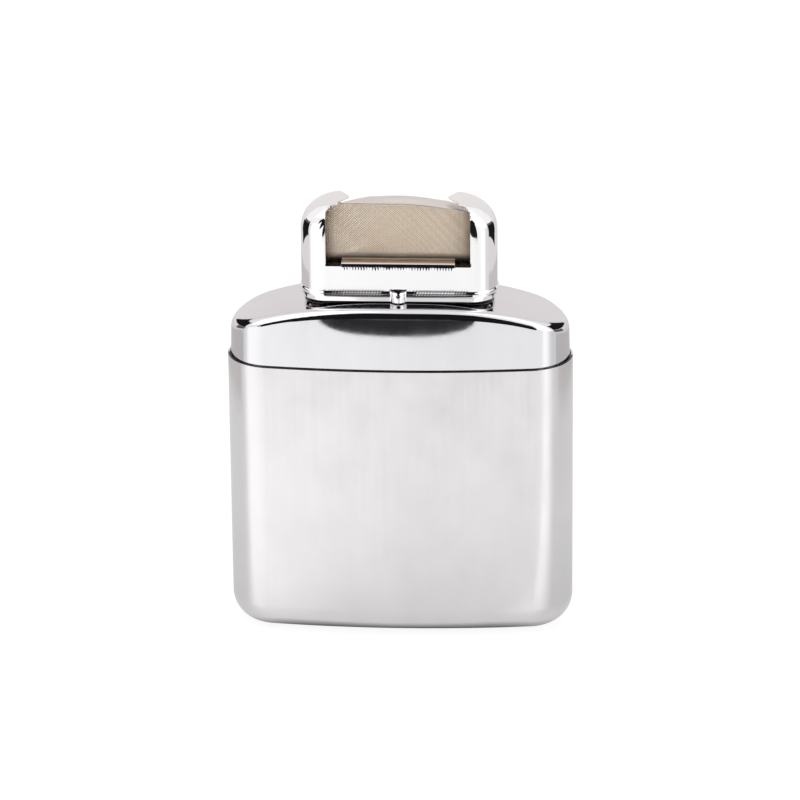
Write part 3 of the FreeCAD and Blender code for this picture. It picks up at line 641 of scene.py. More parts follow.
# %% Head sizes
HEAD_SHEET, HEAD_EDGE = 0.45, 0.18
FLARE = 0.25             # how far the skirt stands out
HEAD_CORNER = 5.05       # plan radius of the ends
TOP_CORNER = 6.6         # radius of the top corners, seen from the front
TOP_EDGE = 3.2           # rounding of the top edges, seen from the side
WINDOW = 14.1            # half the window's width
CHAMFER = 1.6            # corner cut at the top of the window
NICK = 0.4               # step between the window and the top opening
WAIST = 9.7              # half the top opening at its waist
SILL = 7.5               # above the rim
TAB, TAB_RISE, TAB_BEND = 11.05, 0.7, 0.9    # half width, height over the sill, bend radius
TAB_GAP = 0.45           # between the tab's edge and the gauze

head_low, head_high = box_mm("burner_shell")
rim, head_top = head_low.z, head_high.z
HALF_X, HALF_Y = head_high.x - FLARE, head_high.y - FLARE
sill = rim + SILL
bend_start = sill + TAB_RISE - TAB_BEND  # the cuts beside the tab end here
dome_start = head_top - TOP_CORNER
window_depth = HALF_Y - TOP_EDGE / 2     # the window's cut reaches in to this plane


def head_level(z):
    """Half sizes and corner radius of the head's plan at a height."""
    drop = head_top - max(z, dome_start)
    half_x = (HALF_X - TOP_CORNER
              + math.sqrt(max(TOP_CORNER ** 2 - (TOP_CORNER - drop) ** 2, 0)))
    climb = max(TOP_EDGE - drop, 0)
    half_y = HALF_Y - TOP_EDGE + math.sqrt(max(TOP_EDGE ** 2 - climb ** 2, 0))
    return half_x, half_y, min(HEAD_CORNER, half_y - 0.02)   # the ends keep a sliver of flat


def dome_height(x, y):
    """The height of the domed top over a point of the plan."""
    return last_inside(lambda z: rounded_distance(x, y, *head_level(z)) < 0,
                       dome_start, head_top)


def window_edge(z):
    """Half the window's width at a height, with its top corners cut."""
    return min(WINDOW, WINDOW + head_top - CHAMFER - z)


print("head", round(2 * HALF_X, 2), "by", round(2 * HALF_Y, 2), "sill at", round(sill, 2))

# %% C-shaped rows
CORNER_STEPS, END_FLAT_STEPS = 24, 2
FINE_STEPS = 90          # on a corner's arc, before its points are spread evenly


def corner_run(half_x, half_y, radius, start_x):
    """Points along the front from start_x and round the corner, evenly spaced."""
    line = half_x - radius
    run = []
    if start_x < line:
        run.append((start_x, -half_y))
        first = -math.pi / 2
    else:
        first = -math.acos((start_x - line) / radius)
    for i in range(FINE_STEPS + 1):
        angle = first * (1 - i / FINE_STEPS)
        run.append((line + radius * math.cos(angle), radius - half_y + radius * math.sin(angle)))
    lengths = [0.0]
    for a, b in zip(run, run[1:]):
        lengths.append(lengths[-1] + math.dist(a, b))
    even, index = [], 0
    for i in range(CORNER_STEPS + 1):
        wanted = lengths[-1] * i / CORNER_STEPS
        while index < len(run) - 2 and lengths[index + 1] < wanted:
            index += 1
        share = (wanted - lengths[index]) / (lengths[index + 1] - lengths[index])
        even += between([run[index]], [run[index + 1]], share)
    return even


def end_row(half_x, half_y, radius, start_x):
    """The right end's row, from the front window edge round to the back one."""
    front = corner_run(half_x, half_y, radius, start_x)
    flat = half_y - radius
    middle = [(half_x, flat * (2 * i / END_FLAT_STEPS - 1)) for i in range(1, END_FLAT_STEPS)]
    return front + middle + [(x, -y) for x, y in reversed(front)]


END_COUNT = len(end_row(HALF_X, HALF_Y, HEAD_CORNER, WINDOW))
print("end row of", END_COUNT, "points")

# %% Skirt
SKIRT_BREAK = 1.15       # above the rim, where the skirt's face starts to lean in
SKIRT_LEAN = math.radians(20)
ROLLED_RIM, SOFT_BREAK = 0.12, 0.06  # radii of the rim's roll and of the break in the face
STEP_START, STEP_RISE = 1.75, 0.5    # above the rim, where the skirt steps in to the wall
SKIRT_HEIGHTS = (0, 0.03, 0.07, 0.12, 0.3, 0.6, 0.85, 1.0, 1.06, 1.12, 1.18, 1.24, 1.3, 1.45,
                 1.6, 1.7, 1.75, 1.8, 1.85, 1.9, 1.95, 2.0, 2.05, 2.1, 2.15, 2.2, 2.25, 2.3,
                 2.4, 2.5, 2.6, 2.7)


def clamp(share):
    return min(max(share, 0), 1)


def flare_at(z):
    """How far the skirt stands out: a rolled rim, a face that leans in, and a soft step."""
    height = z - rim
    below = SKIRT_BREAK - height
    lean = math.tan(SKIRT_LEAN) * (below + math.hypot(below, SOFT_BREAK)) / 2
    if height < ROLLED_RIM:
        lean += ROLLED_RIM - math.sqrt(ROLLED_RIM ** 2 - (ROLLED_RIM - height) ** 2)
    climb = clamp((height - STEP_START) / STEP_RISE)
    return FLARE * (1 - climb * climb * (3 - 2 * climb)) - lean


print("skirt of", len(SKIRT_HEIGHTS), "rows")

# %% Lug
LUG_RADIUS, LUG_REACH = 1.5, 1.0     # in plan, and how far it stands out of the skirt
LUG_SOFT = 0.18          # hollow where the lug meets the skirt
LUG_TOP = 2.31           # above the rim
SLIT = (2.3, 2.6)        # above the rim, the slit over the lug


def lug_at(x, z):
    """How far the half-round lug stands out of the skirt."""
    if z > rim + LUG_TOP:
        return 0.0
    away = LUG_REACH - LUG_RADIUS
    rise = math.sqrt(max(LUG_RADIUS ** 2 - x * x, 0)) + away
    settle = (away + math.hypot(away, LUG_SOFT)) / 2
    return max((rise + math.hypot(rise, LUG_SOFT)) / 2 - settle, 0)


print("the lug stands out by", round(lug_at(0, rim), 2))

# %% Press marks
RIPPLE, RIPPLE_LENGTH = 0.026, 0.55  # depth and spacing of the ripples that the press leaves
RIPPLE_GROWTH = 0.0006   # they are deeper by this for each millimetre to the right
RIPPLE_TALL = 0.3        # they fade out this far above and below the step
RIPPLE_FROM, RIPPLE_IN, RIPPLE_OUT = 2.5, 1.5, 1.2   # their start beside the lug, and two fades
ROLL_HEIGHT, ROLL_DEPTH = 1.0, 0.012     # the sheet's soft lead-in below the tab's bend
ROLL_WANDER, ROLL_RIPPLE = 1.2, 0.022    # how uneven it is, and the depth of its ripples
ROLL_FADE = 0.6          # it fades out over this length at the tab's ends


def skirt_ripple(x, z):
    """Faint upright ripples that the press leaves where the skirt steps in."""
    middle = rim + STEP_START + STEP_RISE / 2
    near = math.exp(-((z - middle) / RIPPLE_TALL) ** 2)
    near *= clamp((abs(x) - RIPPLE_FROM) / RIPPLE_IN) * clamp((WINDOW - abs(x)) / RIPPLE_OUT)
    return near * (RIPPLE + RIPPLE_GROWTH * x) * math.cos(2 * math.pi * x / RIPPLE_LENGTH)


def roll_at(x, z):
    """The sheet's soft lead-in below the tab's bend, deeper and shallower along the tab."""
    start = bend_start - ROLL_HEIGHT
    inside = clamp((TAB - abs(x)) / ROLL_FADE)
    if z <= start or inside == 0:
        return 0.0
    uneven = 1 + ROLL_WANDER * noise.noise(Vector((x * 0.8, 3.0, 0)))
    share = (z - start) / ROLL_HEIGHT
    ripple = ROLL_RIPPLE * math.cos(2 * math.pi * x / RIPPLE_LENGTH)
    return inside * (uneven * ROLL_DEPTH * share ** 2 + ripple * share)


print("ripples", RIPPLE, "deep and", RIPPLE_LENGTH, "apart")

# %% Rings of the band
LUG_SIDE = 2.6           # the band's points are closest together inside this
CUT_STEPS, TAB_STEPS, LUG_STEPS = 20, 84, 20     # beside the tab, along it and over the lug
band_xs = [WINDOW - (WINDOW - TAB) * i / CUT_STEPS for i in range(CUT_STEPS)]
band_xs += [LUG_SIDE + (TAB - LUG_SIDE) * i / TAB_STEPS for i in range(TAB_STEPS, 0, -1)]
band_xs += [LUG_SIDE - LUG_SIDE / LUG_STEPS * i for i in range(LUG_STEPS)]
BAND = [-x for x in band_xs] + [0.0] + band_xs[::-1]
BACK = len(BAND) + END_COUNT - 2     # place in a ring of the back band's first point


def head_ring(z):
    """A full ring at a height: front band, right end, back band, left end."""
    out = flare_at(z)
    half_x, half_y, radius = HALF_X + out, HALF_Y + out, HEAD_CORNER + out
    front = [(x, roll_at(x, z) - half_y - skirt_ripple(x, z) - lug_at(x, z)) for x in BAND]
    right = end_row(half_x, half_y, radius, WINDOW)
    back = [(-x, half_y - roll_at(x, z)) for x in BAND]
    left = [(-x, -y) for x, y in right]
    return [(x, y, z) for x, y in front + right[1:-1] + back + left[1:-1]]


def band_reach(i, start=0):
    """How far out step i of a ring lies on the band that begins at start, if it is on it."""
    if start <= i < start + len(BAND) - 1:
        return abs(BAND[i - start] + BAND[i - start + 1]) / 2
    return None


def off_lug(i):
    reach = band_reach(i)
    return reach is None or reach >= LUG_RADIUS


def off_tab(i):
    return all(reach is None or reach > TAB for reach in (band_reach(i), band_reach(i, BACK)))


print("ring of", len(head_ring(sill)), "points")

# %% Band and tabs
WALL_ROWS, LEAD_ROWS, TAB_ROWS = 5, 8, 8
ROLL_ENDS = 0.8          # share of the bend's height in which the lead-in's ripples die out


def lay_band(skin):
    """Full rings from the rim to the sill, open at the slit over the lug and at the tabs."""
    heights = [rim + height for height in SKIRT_HEIGHTS]
    lead_in, last = bend_start - ROLL_HEIGHT, heights[-1]
    heights += [last + (lead_in - last) * i / WALL_ROWS for i in range(1, WALL_ROWS + 1)]
    heights += [lead_in + ROLL_HEIGHT * i / LEAD_ROWS for i in range(1, LEAD_ROWS + 1)]
    rings = [skin.row(head_ring(z)) for z in heights]
    for z, low, high in zip(heights, rings, rings[1:]):
        slitted = SLIT[0] - 0.01 < z - rim < SLIT[1] - 0.01
        skin.strip(low, high, closed=True, wanted=off_lug if slitted else None)
    sill_ring = skin.row(head_ring(sill))
    skin.strip(rings[-1], sill_ring, closed=True, wanted=off_tab)
    return rings[-1], sill_ring


def lay_tabs(skin, top):
    """The sheet at the sill, bent in as a tab on the front and on the back."""
    inside = [i for i, x in enumerate(BAND) if abs(x) <= TAB]
    lean = math.atan(2 * ROLL_DEPTH / ROLL_HEIGHT)
    angles = [lean + (math.pi / 2 - lean) * i / TAB_ROWS for i in range(1, TAB_ROWS + 1)]
    path = [(TAB_BEND * (math.cos(lean) - math.cos(a)),
             bend_start + TAB_BEND * (math.sin(a) - math.sin(lean))) for a in angles]
    inner = HALF_Y - box_mm("gauze_screen")[1].y - TAB_GAP
    path += [((path[-1][0] + inner) / 2, path[-1][1]), (inner, path[-1][1])]
    for start, side in ((0, -1), (BACK, 1)):
        rows = [[top[start + i] for i in inside]]
        xs = [skin.points[index][0] for index in rows[0]]
        for depth, z in path:
            left = max(1 - (z - bend_start) / (ROLL_ENDS * TAB_BEND), 0)
            rows.append(skin.row([(x, side * (HALF_Y - depth - roll_at(x, bend_start) * left), z)
                                  for x in xs]))
        skin.strips(rows)


print("tabs bend in from", round(bend_start, 2))

# %% Arms
DOME_ROWS, TIP_ROWS, ARM_ROWS, NICK_STEPS = 30, 10, 4, 4


def opening_edge(count):
    """The top opening's edge from front to back: the nick, then the two slopes to the waist."""
    edge_x = WINDOW - CHAMFER - NICK
    slope_steps = count // 2 - NICK_STEPS
    start = chamfer_end()[0]
    half = [(start + (edge_x - start) * i / NICK_STEPS, -window_depth)
            for i in range(NICK_STEPS)]
    half += [(edge_x + (WAIST - edge_x) * i / slope_steps,
              -window_depth * (1 - i / slope_steps)) for i in range(slope_steps)]
    return half + [(WAIST, 0.0)] + [(x, -y) for x, y in reversed(half)]


def chamfer_end():
    """Where the window's cut corner meets the plane that the window is cut to."""
    z = last_inside(lambda z: rounded_distance(window_edge(z), window_depth, *head_level(z)) < 0,
                    dome_start, head_top)
    return window_edge(z), z


def lay_arms(skin, sill_ring):
    """Each arm's C-shaped rows, and its tip from the last of them to the top opening."""
    edge_x, edge_z = chamfer_end()
    last_turn = math.asin(1 - (head_top - edge_z) / TOP_CORNER)
    levels = [sill + (dome_start - sill) * i / ARM_ROWS for i in range(1, ARM_ROWS + 1)]
    levels += [head_top - TOP_CORNER * (1 - math.sin(last_turn * i / DOME_ROWS))
               for i in range(1, DOME_ROWS + 1)]
    outer = end_row(*head_level(edge_z), edge_x)
    inner = opening_edge(len(outer) - 1)
    for side, start in ((1, len(BAND) - 1), (-1, BACK + len(BAND) - 1)):
        rows = [[sill_ring[(start + i) % len(sill_ring)] for i in range(END_COUNT)]]
        for z in levels:
            row = end_row(*head_level(z), window_edge(z))
            rows.append(skin.row([(side * x, side * y, z) for x, y in row]))
        for step in range(1, TIP_ROWS + 1):
            plan = between(outer, inner, step / TIP_ROWS)
            rows.append(skin.row([(side * x, side * y, dome_height(x, y)) for x, y in plan]))
        skin.strips(rows)


print("the window's cut corner ends at", [round(c, 2) for c in chamfer_end()])

# %% Burner head
def head_skin():
    skin = Skin()
    top, sill_ring = lay_band(skin)
    lay_tabs(skin, top)
    lay_arms(skin, sill_ring)
    return skin


def painted_tab_reflection(tree, x, y, z):
    """The tabs' share of a brown tint, growing as the plate bends in: a painted reflection of the
    gauze, and painted shade on the bend's highlight.
    """
    aside, deep = calculate(tree, "ABSOLUTE", x), calculate(tree, "ABSOLUTE", y)
    tab_top = sill + TAB_RISE
    share = fade(tree, deep, HALF_Y - 0.05, HALF_Y - 0.5)
    for field, start, end in ((aside, WINDOW - 1.0, WINDOW - 2.0),
                              (z, bend_start + 0.1, bend_start + 0.4),
                              (z, tab_top + 0.4, tab_top + 0.2)):
        share = calculate(tree, "MULTIPLY", share, fade(tree, field, start, end))
    return share


# a brown tint over the tabs' bend: painted reflection of the gauze and painted shade on its
# highlight
recolour(burner_chrome, painted_tab_reflection, (0.46, 0.37, 0.31))
head = as_sheet(head_skin().make("burner_head"), HEAD_SHEET, HEAD_EDGE, segments=3)
finish(head, "burner", "burner_chrome", burner_chrome, "burner_shell")

# %% [markdown]
# ## The gauze
# The gauze is a strip of woven wire folded over the catalyst pad, so it has a front, a crowned
# top and a back, and it puckers where the tabs press on it. It is made in two steps. First a
# smooth form gives its shape, with a UV map in real distances. Then Geometry Nodes weave it: two
# families of wires are laid out flat, corner to corner, and each point is carried onto the form
# by its UV, one wire over and the next under.

# %% Gauze sizes
GAUZE_CREASE = 0.12      # radius of the folds over the top
GAUZE_LIP = 0.14         # how far the folded top hangs over the front face
GAUZE_SWELL = 0.42       # how far the crown bulges up between the head's arms
WIRE_ROOM = 0.12         # between the form and the outside of the weave
FACE_ROOM = 0.25         # between the faces and that, for their soft folds
FOLD_DROP, FOLD_SAG, SAG_REACH, SAG_POWER = 0.3, 1.3, 12.4, 1.6     # of the front crease
LOW_FOLD, HIGH_FOLD, HOLLOW = 78.6, 79.9, 80.9   # heights of a face's soft folds and hollow
RIDGE_FALL = 0.0145      # of the crown, for each square millimetre out from the middle
FORM_COLUMNS, FACE_ROWS, CREASE_ROWS, TOP_ROWS = 96, 34, 6, 8
UV_SPAN = 40.0           # millimetres that the UV map's unit covers

gauze_low, gauze_high = box_mm("gauze_screen")
gauze_reach = gauze_high.x - WIRE_ROOM
gauze_xs = [gauze_reach * (2 * i / FORM_COLUMNS - 1) for i in range(FORM_COLUMNS + 1)]


def corner_drop(x):
    """How far the head's rounded corner brings the gauze down at x."""
    radius = TOP_CORNER - HEAD_SHEET
    over = abs(x) - (gauze_high.x - radius)
    return radius - math.sqrt(max(radius ** 2 - max(over, 0) ** 2, 0))


def front_crease(x):
    """Height of the front crease: level at the left, sagging to the right."""
    sag = FOLD_DROP + FOLD_SAG * (max(x, 0) / SAG_REACH) ** SAG_POWER
    return gauze_high.z - WIRE_ROOM - max(sag, corner_drop(x))


def ridge(x):
    """Height of the crown along the middle of the top."""
    return gauze_high.z - WIRE_ROOM + GAUZE_SWELL - max(RIDGE_FALL * x * x, corner_drop(x))


def pucker(x, z, side):
    """How far a face is pushed out or in, by two soft folds low down and a hollow over them."""
    mirror = x if side < 0 else -x
    first = (z - LOW_FOLD) - (mirror + 12.2) * 0.33
    second = (z - HIGH_FOLD) + (mirror - 1.0) * 0.09
    left = math.exp(-(first / 0.55) ** 2) * (1 - clamp((mirror + 1) / 6))
    right = math.exp(-(second / 0.8) ** 2) * clamp((mirror + 1) / 4)
    hollow = math.exp(-((z - HOLLOW) / 1.2) ** 2)
    wander = noise.noise(Vector((x * 0.25, z * 0.3, side * 5.0)))
    return 0.28 * left + 0.24 * right - 0.16 * hollow + 0.12 * wander


print("gauze", round(2 * gauze_reach, 1), "wide; crown at", round(ridge(0), 2))

# %% Gauze form
def gauze_path(x):
    """The wrap's section at x, from the front's foot over the top to the back's foot."""
    face = gauze_high.y - WIRE_ROOM - FACE_ROOM - GAUZE_LIP / 2
    foot = gauze_low.z + 0.1
    front_top, middle = front_crease(x), ridge(x)
    back_top = min(middle - 0.3, front_top)
    shelf = front_top - GAUZE_CREASE - 0.1
    path = []
    for i in range(FACE_ROWS + 1):
        z = foot + (shelf - foot) * i / FACE_ROWS
        path.append((-face - pucker(x, z, -1), z))
    path.append((path[-1][0] - GAUZE_LIP, shelf + 0.03))
    path.append((path[-1][0], front_top - GAUZE_CREASE))
    lead = path[-1][0]
    turns = [math.pi / 2 * i / CREASE_ROWS for i in range(1, CREASE_ROWS + 1)]
    path += [(lead + GAUZE_CREASE * (1 - math.cos(turn)),
              front_top - GAUZE_CREASE * (1 - math.sin(turn))) for turn in turns]
    start, end = path[-1], (face - GAUZE_CREASE, back_top)
    for i in range(1, TOP_ROWS + 1):
        share = i / TOP_ROWS
        arch = (middle - (start[1] + end[1]) / 2) * math.sin(math.pi * share)
        (y, level), = between([start], [end], share)
        path.append((y, level + arch))
    path += [(end[0] + GAUZE_CREASE * math.sin(turn),
              back_top - GAUZE_CREASE * (1 - math.cos(turn))) for turn in turns]
    top = back_top - GAUZE_CREASE
    for i in range(1, FACE_ROWS + 1):
        z = top + (foot - top) * i / FACE_ROWS
        path.append((face + pucker(x, z, 1), z))
    return path


def gauze_form():
    """The smooth form, as a mesh whose UV map is in real distances along and around it."""
    skin, uvs, rows = Skin(), [], []
    for x in gauze_xs:
        path = gauze_path(x)
        run, middle = [0.0], len(path) // 2
        for a, b in zip(path, path[1:]):
            run.append(run[-1] + math.dist(a, b))
        rows.append(skin.row([(x, y, z) for y, z in path]))
        uvs += [(0.5 + x / UV_SPAN, 0.5 + (length - run[middle]) / UV_SPAN) for length in run]
    skin.strips(rows)
    form = skin.make("gauze_form")
    layer = form.data.uv_layers.new(name="UVMap")
    for loop in form.data.loops:
        layer.data[loop.index].uv = uvs[loop.vertex_index]
    smooth(form)
    return form


form = gauze_form()
print("gauze form", len(form.data.polygons), "faces")

# %% Weaving tree
PITCH = 0.35             # between wires
WIRE = 0.103             # a wire's radius
WIRES = 133              # in each family, an odd number so that both share their crossings


def weave_tree():
    tree = bpy.data.node_groups.new("weave", "GeometryNodeTree")
    face = tree.interface
    face.new_socket("Geometry", in_out="INPUT", socket_type="NodeSocketGeometry")
    for name in ("Pitch", "Wire Radius", "UV Span"):
        face.new_socket(name, in_out="INPUT", socket_type="NodeSocketFloat")
    face.new_socket("Wires", in_out="INPUT", socket_type="NodeSocketInt")
    face.new_socket("Material", in_out="INPUT", socket_type="NodeSocketMaterial")
    face.new_socket("Geometry", in_out="OUTPUT", socket_type="NodeSocketGeometry")
    given = node(tree, "NodeGroupInput").outputs
    joined = node(tree, "GeometryNodeJoinGeometry")
    for quarter_turn, lift in ((math.pi / 4, 1.0), (-math.pi / 4, -1.0)):
        tree.links.new(wire_family(tree, given, quarter_turn, lift), joined.inputs[0])
    real = node(tree, "GeometryNodeRealizeInstances", {0: joined.outputs[0]})
    made = node(tree, "GeometryNodeSetMaterial", {"Geometry": real.outputs[0],
                                                  "Material": given["Material"]})
    node(tree, "NodeGroupOutput", {0: made.outputs[0]})
    return tree


def vector(tree, operation, inputs):
    return node(tree, "ShaderNodeVectorMath", inputs, operation=operation).outputs[0]


def point(tree, **axes):
    return node(tree, "ShaderNodeCombineXYZ", axes).outputs[0]


print("weave of", WIRES, "wires each way,", PITCH, "apart")


# %% Wires laid flat
def flat_wires(tree, given):
    """Parallel wires side by side on the flat, each with a point at every crossing."""
    gaps = calculate(tree, "SUBTRACT", given["Wires"], 1.0)
    reach = calculate(tree, "MULTIPLY", calculate(tree, "MULTIPLY", gaps, given["Pitch"]), 0.5)
    back = calculate(tree, "MULTIPLY", reach, -1.0)
    wire = node(tree, "GeometryNodeCurvePrimitiveLine", {"Start": point(tree, X=back),
                                                         "End": point(tree, X=reach)})
    wire = node(tree, "GeometryNodeResampleCurve", {"Curve": wire.outputs[0],
                                                    "Count": given["Wires"]})
    starts = node(tree, "GeometryNodeMeshLine", {"Count": given["Wires"],
                                                 "Start Location": point(tree, Y=back),
                                                 "Offset": point(tree, Y=given["Pitch"])})
    copies = node(tree, "GeometryNodeInstanceOnPoints", {"Points": starts.outputs[0],
                                                         "Instance": wire.outputs[0]})
    return node(tree, "GeometryNodeRealizeInstances", {0: copies.outputs[0]}).outputs[0]


def over_or_under(tree, wires, lift):
    """1 where a wire passes over its crossing and -1 where it passes under."""
    index = node(tree, "GeometryNodeInputIndex").outputs[0]
    along = calculate(tree, "MODULO", index, wires)
    across = calculate(tree, "FLOOR", calculate(tree, "DIVIDE", index, wires))
    odd = calculate(tree, "MODULO", calculate(tree, "ADD", along, across), 2.0)
    return calculate(tree, "MULTIPLY_ADD", odd, -2.0 * lift, lift)


print("each wire crosses", WIRES, "others")

# %% Wires carried onto the form
def wire_family(tree, given, turn, lift):
    """One family of parallel wires, laid flat, turned, and carried onto the form."""
    flat = flat_wires(tree, given)
    place = node(tree, "GeometryNodeInputPosition").outputs[0]
    turned = node(tree, "ShaderNodeVectorRotate", {"Vector": place, "Angle": turn},
                  rotation_type="Z_AXIS").outputs[0]
    shrink = calculate(tree, "DIVIDE", 1.0, given["UV Span"])
    scaled = vector(tree, "SCALE", {0: turned, "Scale": shrink})
    uv = vector(tree, "ADD", {0: scaled, 1: (0.5, 0.5, 0.0)})
    uv_map = node(tree, "GeometryNodeInputNamedAttribute", {"Name": "UVMap"},
                  data_type="FLOAT_VECTOR").outputs[0]
    on_form, normal = (node(tree, "GeometryNodeSampleUVSurface", {
        "Mesh": given["Geometry"], "UV Map": uv_map, "Sample UV": uv,
        "Value": node(tree, field).outputs[0]}, data_type="FLOAT_VECTOR").outputs
        for field in ("GeometryNodeInputPosition", "GeometryNodeInputNormal"))
    over = over_or_under(tree, given["Wires"], lift)
    height = calculate(tree, "MULTIPLY", over, given["Wire Radius"])
    rise = vector(tree, "SCALE", {0: normal["Value"], "Scale": height})

    kept = node(tree, "GeometryNodeCaptureAttribute", {"Geometry": flat})
    kept.capture_items.new("VECTOR", "target")
    kept.capture_items.new("BOOLEAN", "valid")
    feed(tree, kept, {"target": vector(tree, "ADD", {0: on_form["Value"], 1: rise}),
                      "valid": on_form["Is Valid"]})
    missed = node(tree, "FunctionNodeBooleanMath", {0: kept.outputs["valid"]}, operation="NOT")
    inside = node(tree, "GeometryNodeDeleteGeometry", {"Geometry": kept.outputs["Geometry"],
                                                       "Selection": missed.outputs[0]})
    moved = node(tree, "GeometryNodeSetPosition", {"Geometry": inside.outputs[0],
                                                   "Position": kept.outputs["target"]})
    circle = node(tree, "GeometryNodeCurvePrimitiveCircle", {"Resolution": 3,
                                                             "Radius": given["Wire Radius"]})
    return node(tree, "GeometryNodeCurveToMesh", {"Curve": moved.outputs[0],
                                                  "Profile Curve": circle.outputs[0]}).outputs[0]


# %% Gauze
def woven(form):
    """Puts the tree on the form and turns what it makes into the gauze's plain mesh."""
    tree = weave_tree()
    weave = form.modifiers.new("weave", "NODES")
    weave.node_group = tree
    values = {"Pitch": PITCH * MM, "Wire Radius": WIRE * MM, "UV Span": UV_SPAN * MM,
              "Wires": WIRES, "Material": gauze}
    for item in tree.interface.items_tree:
        if item.in_out == "INPUT" and item.name in values:
            weave[item.identifier] = values[item.name]
    settled(form)
    form.name = form.data.name = "gauze_wrap"
    smooth(form)
    return form


wrap = woven(form)
finish(wrap, "burner", "gauze", gauze, "gauze_screen")

# %% [markdown]
# ## The fold over the gauze
# Over the top the wrap is folded double and pressed flat, so no weave shows there. It is a thin
# strip laid on the form's own top line, a little proud of it, with a bent front edge.

# %% Gauze fold
FOLD_PROUD, FOLD_SHEET = 0.12, 0.08


def fold_skin():
    skin, rows = Skin(), []
    first = FACE_ROWS + 2
    wide = 1 + FOLD_PROUD / gauze_high.y
    for x in gauze_xs:
        top = gauze_path(x)[first:first + 1 + 2 * CREASE_ROWS + TOP_ROWS]
        rows.append(skin.row([(x, y * wide, z + FOLD_PROUD) for y, z in top]))
    skin.strips(rows)
    return skin


folded_gauze = plated("folded_gauze", (0.80, 0.755, 0.73), (0.73, 0.68, 0.65), 0.42, 0.06, 0.003,
                      0.01, grain=0.3)
fold = as_sheet(fold_skin().make("gauze_fold"), FOLD_SHEET, FOLD_SHEET / 4)
finish(fold, "burner", "gauze", folded_gauze)

# %% [markdown]
# ## Catalyst pad, felt and cotton
# These are soft, so none of them has a true flat or a sharp edge. Each starts as rows of points
# inside its CAD solid's box, is pulled in at its edges as stuffing is, and gets a slow noise over
# its surface.

# %% Pad and wick
BLOCK_COLUMNS, BLOCK_ROWS = 60, 28
SQUARE_ENDS, SQUARE_FACES = 0.3, 0.5     # powers that square a block's plan; 1 is an oval
PINCH = 0.1              # share of its length that a block loses at its top and bottom
PAD_HALF = 1.35          # half the pad's thickness, squeezed by the wrap
PAD_ROOM = 0.45          # between the pad's top and the gauze's form
noise.seed_set(7)        # noise_vector draws from this seed


def plump(name, low, high, top, depth_power, wander):
    """A crowned block between two corners; top gives the height of its top edge at x."""
    skin = Skin()
    middle_y = (low.y + high.y) / 2
    half_y = (high.y - low.y) / 2 - wander
    half_x = (high.x - low.x) / 2 - wander
    rings = []
    for row in range(BLOCK_ROWS + 1):
        up = row / BLOCK_ROWS
        swell = (1 - abs(2 * up - 1) ** depth_power) ** (1 / depth_power)
        points = []
        for column in range(BLOCK_COLUMNS):
            turn = 2 * math.pi * column / BLOCK_COLUMNS
            cos, sin = math.cos(turn), math.sin(turn)
            x = half_x * math.copysign(abs(cos) ** SQUARE_ENDS, cos) * (1 - PINCH + PINCH * swell)
            y = half_y * math.copysign(abs(sin) ** SQUARE_FACES, sin) * swell
            z = low.z + wander + (top(x) - low.z - 2 * wander) * up
            stray = noise.noise_vector(Vector((x, y, z)) * 0.35) * wander
            points.append((x + stray.x, middle_y + y + stray.y, z + stray.z))
        rings.append(skin.row(points))
    skin.strips(rings, closed=True)
    skin.cap(rings[0], up=False)
    skin.cap(rings[-1], up=True)
    made = skin.make(name)
    smooth(made)
    return made


pad_low, pad_high = box_mm("catalyst_pad")
pad_low.y, pad_high.y = -PAD_HALF, PAD_HALF
pad = plump("fibre_pad", pad_low, pad_high,
            lambda x: min(front_crease(x), ridge(x)) - PAD_ROOM, 8, 0.06)
finish(pad, "burner", "catalyst_fibre", catalyst_fibre, "catalyst_pad")

felt_low, felt_high = box_mm("wick_felt")
wick = plump("felt_wick", felt_low, felt_high, lambda x: felt_high.z, 12, 0.05)
finish(wick, "tank", "felt", felt, "wick_felt")

# %% Cotton
COTTON_STRAY = 0.5       # how unevenly it fills the flask
COTTON_EDGE = 55.0       # height at which its walls start to turn over
COTTON_TURN = 2.0        # how far they turn in up there
TURN_STEPS, COTTON_ROWS = 8, 24


def cotton_rings():
    """Insets and heights up the wall, and then rings that turn over under the deck."""
    low, high = box_mm("cotton_fill")
    inset, drop = half_width - high.x, deck_top + CROWN_LIFT - high.z
    round_bottom = BOTTOM_RADIUS - inset
    wall = []
    for step in range(TURN_STEPS + 1):
        turned = math.pi / 2 * step / TURN_STEPS
        wall.append((inset + round_bottom * (1 - math.sin(turned)),
                     low.z + round_bottom * (1 - math.cos(turned))))
    start = wall[-1][1]
    wall += [(inset, start + (COTTON_EDGE - start) * i / COTTON_ROWS)
             for i in range(1, COTTON_ROWS + 1)]
    rings = [[(*oval_point(d, bring), z) for d in DIRECTIONS] for bring, z in wall]
    for share in (0.25, 0.5, 0.75, 1.0):
        bring = inset + COTTON_TURN * (1 - math.cos(math.pi / 2 * share))
        climb = math.sin(math.pi / 2 * share)
        rings.append([(x, y, COTTON_EDGE + (crown(x) - drop - COTTON_EDGE) * climb)
                      for x, y in (oval_point(d, bring) for d in DIRECTIONS)])
    return rings


def cotton_skin():
    """The cotton fills the flask's inside: the oval plan, a round bottom and a crowned top."""
    floor = box_mm("cotton_fill")[0].z
    skin, placed = Skin(), []
    for ring in cotton_rings():
        pulled = []
        for x, y, z in ring:
            pull = COTTON_STRAY * (0.5 + 0.5 * noise.noise(Vector((x, y, z)) * 0.18))
            pulled.append((x * (1 - pull / half_width), y * (1 - pull / half_depth),
                           max(z - pull * 0.5, floor)))
        placed.append(skin.row(pulled))
    skin.cap(placed[0], up=False)
    skin.cap(placed[-1], up=True)
    skin.strips(placed, closed=True)
    return skin


wad = cotton_skin().make("cotton_wad")
smooth(wad)
finish(wad, "tank", "cotton", cotton, "cotton_fill")

